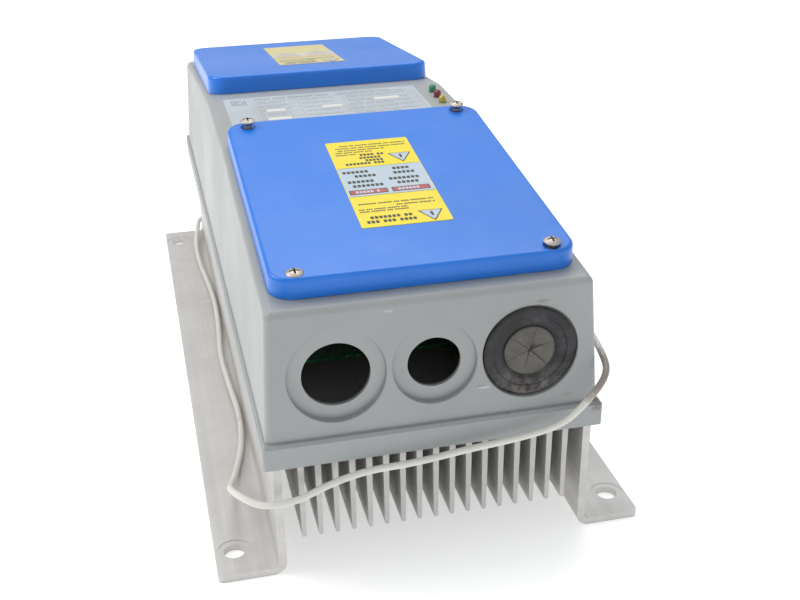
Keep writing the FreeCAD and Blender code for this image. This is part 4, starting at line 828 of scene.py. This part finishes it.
def make_lead_white():
    """A white jacket with brown dirt at one bend and grey patches elsewhere."""
    made = general_finish("lead_white", (0.73, 0.715, 0.655), 0.42, drift=0.06, cloud_scale=50.0,
                          grain=0.25, grain_scale=2500.0)
    tree = made.tree
    bend = tuple(lead_points[3])
    soiled = use_group(tree, single_mark, Centre=bend, Size=(0.03, 0.04, 0.03), Scale=420.0)["Mask"]
    made.tone(soiled, (0.16, 0.10, 0.08), 0.75)
    greyed = ramped(tree, noise(tree, object_place(tree), 75.0, 4.0, 0.7), 0.56, 0.72)
    made.tone(greyed, (0.42, 0.39, 0.35), 0.35)
    return made.done(0.0002, 0.3)


finishes["label_film"] = make_film("label_film", (0.93, 0.74, 0.01))
finishes["cream_film"] = make_film("cream_film", (0.70, 0.60, 0.27))
finishes["white_film"] = make_film("white_film", (0.50, 0.60, 0.68))
finishes["black_ink"] = make_film("black_ink", (0.035, 0.032, 0.02), 0.45)
finishes["grey_ink"] = make_film("grey_ink", (0.30, 0.31, 0.33), 0.45)
finishes["red_ink"] = make_film("red_ink", (0.50, 0.085, 0.085), 0.42)
finishes["ivory_film"] = make_film("ivory_film", (0.66, 0.62, 0.50))
finishes["clean_film"] = make_film("clean_film", (0.78, 0.78, 0.70))
finishes["faded_ink"] = make_film("faded_ink", (0.40, 0.40, 0.40), 0.45)
finishes["orange_ink"] = make_film("orange_ink", (0.66, 0.44, 0.22), 0.42)
finishes["plate_film"] = make_plate_film()
finishes["lead_white"] = make_lead_white()
print(len(finishes), "finishes in all")


# %% [markdown]
# ## Giving every node its finish
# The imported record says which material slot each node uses.  The node's own shading is kept; only
# the material in its slots changes.

# %% Assign finishes
def give_finish(piece, name):
    """Put one finish in all of a piece's material slots."""
    if not piece.data.materials:
        piece.data.materials.append(finishes[name])
    for number in range(len(piece.data.materials)):
        piece.data.materials[number] = finishes[name]


slot_of = {part["node"]: part["material_slot"] for part in frame["record"]["subparts"]}
for node_name, slot_name in slot_of.items():
    if node_name in nodes:
        give_finish(nodes[node_name], slot_name)
give_finish(nodes["upper_cover_label"], "cream_film")
give_finish(lead, "lead_white")

floor_finish = general_finish("floor_paper", (0.86, 0.86, 0.855), 0.75, drift=0.015, cloud_scale=2.0,
                              grain_scale=300.0, grain=0.05)
floor_finish.shader.inputs["Emission Color"].default_value = (1, 1, 1, 1)
floor_finish.shader.inputs["Emission Strength"].default_value = 0.48
studio_floor.data.materials.append(floor_finish.done(0.0002, 0.1))
print("finishes given to", len(slot_of), "nodes")


# %% [markdown]
# ## Printed labels
# The labels are printed film.  The print is generic: bars for lines of words and plain triangles
# for signs, each cut as a thin sheet of ink a few hundredths of a millimetre thick, so that it
# stays crisp at any distance.  Each facet of the deck has its own plane, which the cover's lift
# axis gives.

# %% Label planes
INK = 0.03 * MM                 # thickness of one sheet of ink
INK_GAP = 0.005 * MM            # keeps the lowest sheet clear of the film
HALF_FILM = 0.125 * MM          # half the thickness of a label


def facet_plane(joint_name, label_node):
    """Matrix whose origin is the middle of a label's face and whose Z is the facet's normal."""
    axis = next(joint["axis"] for joint in frame["record"]["behaviour"]["joints"]
                if joint["name"] == joint_name)
    normal = Vector(axis).normalized()
    right = Vector((1, 0, 0))
    along = normal.cross(right)
    place = middle(label_node) + normal * HALF_FILM
    turned = Matrix((right, along, normal)).transposed().to_4x4()
    return Matrix.Translation(place) @ turned


def rounded_bar(x, y, width, length, radius):
    """Corner points of a rounded rectangle, in millimetres."""
    radius = min(radius, width / 2 - 0.01, length / 2 - 0.01)
    points = []
    for quarter, (sx, sy) in enumerate(((1, 1), (-1, 1), (-1, -1), (1, -1))):
        for step in range(4):
            angle = math.radians(90 * quarter + 30 * step)
            points.append((x + sx * (width / 2 - radius) + radius * math.cos(angle),
                           y + sy * (length / 2 - radius) + radius * math.sin(angle)))
    return points


def printed(name, plane, outlines, level, finish, body):
    """One sheet of ink cut to many flat outlines, standing level inks above the plane."""
    mesh = bmesh.new()
    bottom = (level - 1) * INK + INK_GAP
    top = level * INK + INK_GAP
    for outline in outlines:
        low = [mesh.verts.new(plane @ Vector((x * MM, y * MM, bottom))) for x, y in outline]
        high = [mesh.verts.new(plane @ Vector((x * MM, y * MM, top))) for x, y in outline]
        mesh.faces.new(high)
        mesh.faces.new(list(reversed(low)))
        for number in range(len(outline)):
            following = (number + 1) % len(outline)
            mesh.faces.new((low[number], low[following], high[following], high[number]))
    bmesh.ops.recalc_face_normals(mesh, faces=mesh.faces)
    data = bpy.data.meshes.new(name)
    mesh.to_mesh(data)
    mesh.free()
    piece = bpy.data.objects.new(name, data)
    bpy.context.scene.collection.objects.link(piece)
    data.materials.append(finishes[finish])
    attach(piece, body)
    return piece


def word_bars(x_from, x_to, y, height, generator):
    """A line of print between two ends: words of small blocks, with a wider gap between words."""
    bars = []
    x = x_from
    word_left = generator.randint(3, 9)
    block = height * 0.62
    block_gap = height * 0.2
    word_gap = height * 0.6
    while x + block < x_to:
        bars.append(rounded_bar(x + block / 2, y, block, height, height * 0.12))
        word_left -= 1
        x += block + block_gap
        if word_left == 0:
            x += word_gap
            word_left = generator.randint(3, 9)
    return bars


def print_rows(rows, generator):
    """Lines of print from a list of (left end, right end, place along, height)."""
    bars = []
    for x_from, x_to, y, height in rows:
        bars += word_bars(x_from, x_to, y, height, generator)
    return bars


print("label helpers ready")


# %% [markdown]
# ## The near label
# Three equal panels, 37 mm each along the deck: yellow, white, yellow.  A yellow panel has a sign
# near its right side, heavy lines of print beside it and fine ones beyond it.  The white panel has
# two red bands, and two columns of heavy print.  All print reads from the far end.  The sign is a
# plain triangle with a bar in it.

# %% Near label
near_plane = facet_plane("terminal_cover_lift", "terminal_cover_label")
print_maker = random.Random(7)
PANEL = 37.0
BAND_PLACE = -13.5
BAND_HEIGHT = 5.6
BAND_BORDER = 0.7


def triangle(x, base_y, reach, inset=0.0):
    """A triangle with its point towards the near edge and slightly cut tips."""
    tip = 0.35
    half = reach - 1.6 * inset
    top = base_y - 0.75 * inset
    point = base_y - reach * 1.72 + 1.75 * inset
    return [(x - half + tip, top), (x - half + tip * 0.3, top - tip), (x - tip, point),
            (x + tip, point), (x + half - tip * 0.3, top - tip), (x + half - tip, top)]


def sign(x, base_y):
    """Outlines of a sign: dark border, pale field and a plain bar."""
    reach = 7.1
    border = 0.75
    bar = rounded_bar(x, base_y - 4.4, 1.5, 5.0, 0.7)
    return triangle(x, base_y, reach), triangle(x, base_y, reach, border), bar


# Rows of print as left end, right end, place along the label and height, in millimetres.
near_rows = [
    (-21.5, 6.6, -49.7, 3.0), (-18.7, 6.1, -44.9, 3.0),
    (-23.0, 5.0, -37.6, 1.4), (-23.0, 5.0, -35.0, 1.4), (-1.0, 21.5, -32.0, 1.4), (-22.0, 21.5, -28.4, 1.4),
    (-18.8, 5.0, 23.3, 2.7), (-6.1, 5.2, 27.0, 2.7), (-9.0, 4.4, 30.9, 2.7), (-8.0, 8.5, 35.0, 2.7),
    (-22.3, -10.0, 36.6, 1.3), (-22.0, 2.0, 39.6, 1.3), (-20.0, 8.6, 42.6, 1.3), (-21.0, 22.5, 45.8, 1.3),
    (-18.0, 23.0, 49.2, 1.3),
]
white_rows = [
    (-20.4, -2.6, -5.8, 3.2), (-22.3, -3.8, -0.3, 3.2), (-16.9, -3.8, 6.8, 3.2), (-23.0, -4.1, 12.4, 3.2),
    (5.8, 18.4, -5.4, 3.2), (2.1, 23.4, 0.2, 3.2), (6.4, 20.5, 7.6, 3.2), (7.0, 17.0, 13.4, 3.2),
]
signs = [sign(15.6, -41.9), sign(15.9, 33.9)]
bands = [(-12.8, 22.2), (11.9, 22.2)]
band_borders = [rounded_bar(x, BAND_PLACE, width, BAND_HEIGHT, 0.5) for x, width in bands]
band_fields = [rounded_bar(x, BAND_PLACE, width - 2 * BAND_BORDER, BAND_HEIGHT - 2 * BAND_BORDER, 0.3)
               for x, width in bands]
band_words = [bar for x, _ in bands
              for bar in word_bars(x - 7.5, x + 7.5, BAND_PLACE, 2.6, print_maker)]
panel_edges = [rounded_bar(0, y, 50.0, 0.3, 0.1) for y in (-PANEL / 2, PANEL / 2)]
near_black = [border for border, _, _ in signs] + band_borders + panel_edges
near_black += print_rows(near_rows, print_maker) + print_rows(white_rows, print_maker)
near_sheets = [
    ("near_label_white_panel", [rounded_bar(0, 0, 50.2, PANEL, 0.2)], 1, "white_film"),
    ("near_label_black_print", near_black, 2, "black_ink"),
    ("near_label_sign_fields", [field for _, field, _ in signs], 3, "white_film"),
    ("near_label_red_bands", band_fields, 3, "red_ink"),
    ("near_label_sign_bars", [bar for _, _, bar in signs], 4, "black_ink"),
    ("near_label_band_print", band_words, 4, "white_film"),
]
for sheet_name, outlines, level, finish in near_sheets:
    printed(sheet_name, near_plane, outlines, level, finish, "terminal_cover")
print("near label:", sum(len(outlines) for _, outlines, _, _ in near_sheets), "outlines")


# %% [markdown]
# ## The far label
# The upper cover has a label of the same kind, bleached to cream.  Its print has faded to orange
# and grey, and the white of its middle panel has yellowed.

# %% Far label
far_plane = facet_plane("upper_cover_lift", "upper_cover_label")
far_squeeze = 106.0 / 111.0     # the far label's length over the near one's
far_rows = [(x_from, x_to, y * far_squeeze, height) for x_from, x_to, y, height in near_rows]
far_white_rows = [(x_from, x_to, y * far_squeeze, height) for x_from, x_to, y, height in white_rows]
far_signs = [sign(15.6, -40.0), sign(15.9, 32.4)]
far_bands = [rounded_bar(x, -13.0, width, 5.2, 0.5) for x, width in bands]
far_sheets = [
    ("far_label_pale_panel", [rounded_bar(0, 0, 49.2, PANEL * far_squeeze, 0.2)], 1, "ivory_film"),
    ("far_label_orange_print", [border for border, _, _ in far_signs] + far_bands, 2, "orange_ink"),
    ("far_label_grey_print", print_rows(far_rows + far_white_rows, print_maker), 2, "faded_ink"),
    ("far_label_sign_fields", [field for _, field, _ in far_signs], 3, "white_film"),
    ("far_label_sign_bars", [bar for _, _, bar in far_signs], 4, "faded_ink"),
]
for sheet_name, outlines, level, finish in far_sheets:
    printed(sheet_name, far_plane, outlines, level, finish, "upper_cover")
print("far label:", sum(len(outlines) for _, outlines, _, _ in far_sheets), "outlines")


# %% [markdown]
# ## The rating plate
# Between the covers lies a pale plate with faded print: a dark block of short lines at its left
# end, a heavy heading, ruled boxes with fine entries, and a few blank boxes that were filled in by
# hand and have worn clean.

# %% Rating plate
plate_plane = Matrix.Translation(middle("rating_plate") + Vector((0, 0, HALF_FILM)))
RULE = 0.35
ROW_PITCH = 9.5
plate_rules = [rounded_bar(8.0, 30.0 - ROW_PITCH * number, 116.0, RULE, 0.1) for number in range(7)]
plate_rules += [rounded_bar(x, 1.5, RULE, 57.0, 0.1) for x in (-50.0, -18.0, 14.0, 66.0)]
plate_rows = [(-64.5, -52.5, 34.0 - 3.2 * number, 2.3) for number in range(4)]
plate_rows += [(-48.0, 6.0, 34.4, 2.8), (12.0, 50.0, 35.6, 1.5), (10.0, 62.0, 32.6, 1.5)]
for number in range(6):
    upper_line = 25.5 - ROW_PITCH * number + 1.6
    lower_line = upper_line - 3.2
    plate_rows += [(-48.0, -26.0, upper_line, 1.5), (-48.0, -30.0, lower_line, 1.5),
                   (-16.0, 8.0, upper_line, 1.5), (16.0, 60.0, upper_line, 1.5),
                   (16.0, 48.0, lower_line, 1.5)]
blank_boxes = [(-36.0, 6.5, 13.0), (3.0, 6.5, 14.0), (-36.0, -12.5, 16.0), (44.0, 16.0, 18.0)]
plate_boxes = [rounded_bar(x, y, width, 5.0, 0.3) for x, y, width in blank_boxes]
plate_sheets = [
    ("plate_rules", plate_rules, 1, "faded_ink"),
    ("plate_print", print_rows(plate_rows, print_maker), 1, "grey_ink"),
    ("plate_boxes", plate_boxes, 2, "clean_film"),
]
for sheet_name, outlines, level, finish in plate_sheets:
    printed(sheet_name, plate_plane, outlines, level, finish, "chassis")
print("rating plate:", sum(len(outlines) for _, outlines, _, _ in plate_sheets), "outlines")


# %% [markdown]
# ## The slit membrane
# The disc across the grommet is thin rubber cut into wedges from its middle.  A cable was pulled
# through once, so two wedges stay pushed in and the others curl a little.  It is built as its own
# mesh: each wedge is a grid of rings and spokes, bent inwards more towards its tip, then given
# thickness.

# %% Slit membrane
def make_membrane():
    """A disc of six bent wedges, as one mesh with thickness."""
    low, high = (Vector(corner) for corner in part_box("grommet_membrane"))
    centre = (low + high) / 2
    radius = (high.x - low.x) / 2 - 0.05 * MM
    bends = [1.3, 2.8, 0.4, 0.2, 0.6, 0.3]      # how far each tip is pushed in, in millimetres
    rings = 9
    spokes = 10
    slit = 0.12 * MM
    front = low.y + 0.15 * MM
    thickness = 0.7 * MM
    wedge = math.radians(360 / len(bends))
    first_slit = math.radians(-42)
    mesh = bmesh.new()
    for number, bend in enumerate(bends):
        wedge_start = wedge * number + first_slit
        grid = []
        for ring in range(rings + 1):
            share = ring / rings
            r = radius * (0.03 + 0.97 * share)
            row = []
            gap = slit * (1 - share) / max(r, 1 * MM) + 0.002
            for spoke in range(spokes + 1):
                angle = wedge_start + gap + (wedge - 2 * gap) * spoke / spokes
                lift = (1 - share) ** 1.7
                curl = math.cos((spoke / spokes - 0.5) * math.pi) * 0.5 + 0.5
                depth = bend * MM * lift * curl
                row.append(mesh.verts.new((centre.x + r * math.cos(angle), front + depth,
                                           centre.z + r * math.sin(angle))))
            grid.append(row)
        for ring in range(rings):
            for spoke in range(spokes):
                mesh.faces.new((grid[ring][spoke], grid[ring][spoke + 1],
                                grid[ring + 1][spoke + 1], grid[ring + 1][spoke]))
    bmesh.ops.recalc_face_normals(mesh, faces=mesh.faces)
    data = bpy.data.meshes.new("slit_membrane")
    mesh.to_mesh(data)
    mesh.free()
    data.polygons.foreach_set("use_smooth", [True] * len(data.polygons))
    piece = bpy.data.objects.new("slit_membrane", data)
    bpy.context.scene.collection.objects.link(piece)
    shell = piece.modifiers.new("thickness", "SOLIDIFY")
    shell.thickness = thickness
    shell.offset = 0.0
    data.materials.append(finishes["grey_membrane"])
    return piece


membrane = make_membrane()
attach(membrane, "chassis")
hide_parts("grommet_membrane")
print("membrane with six wedges")
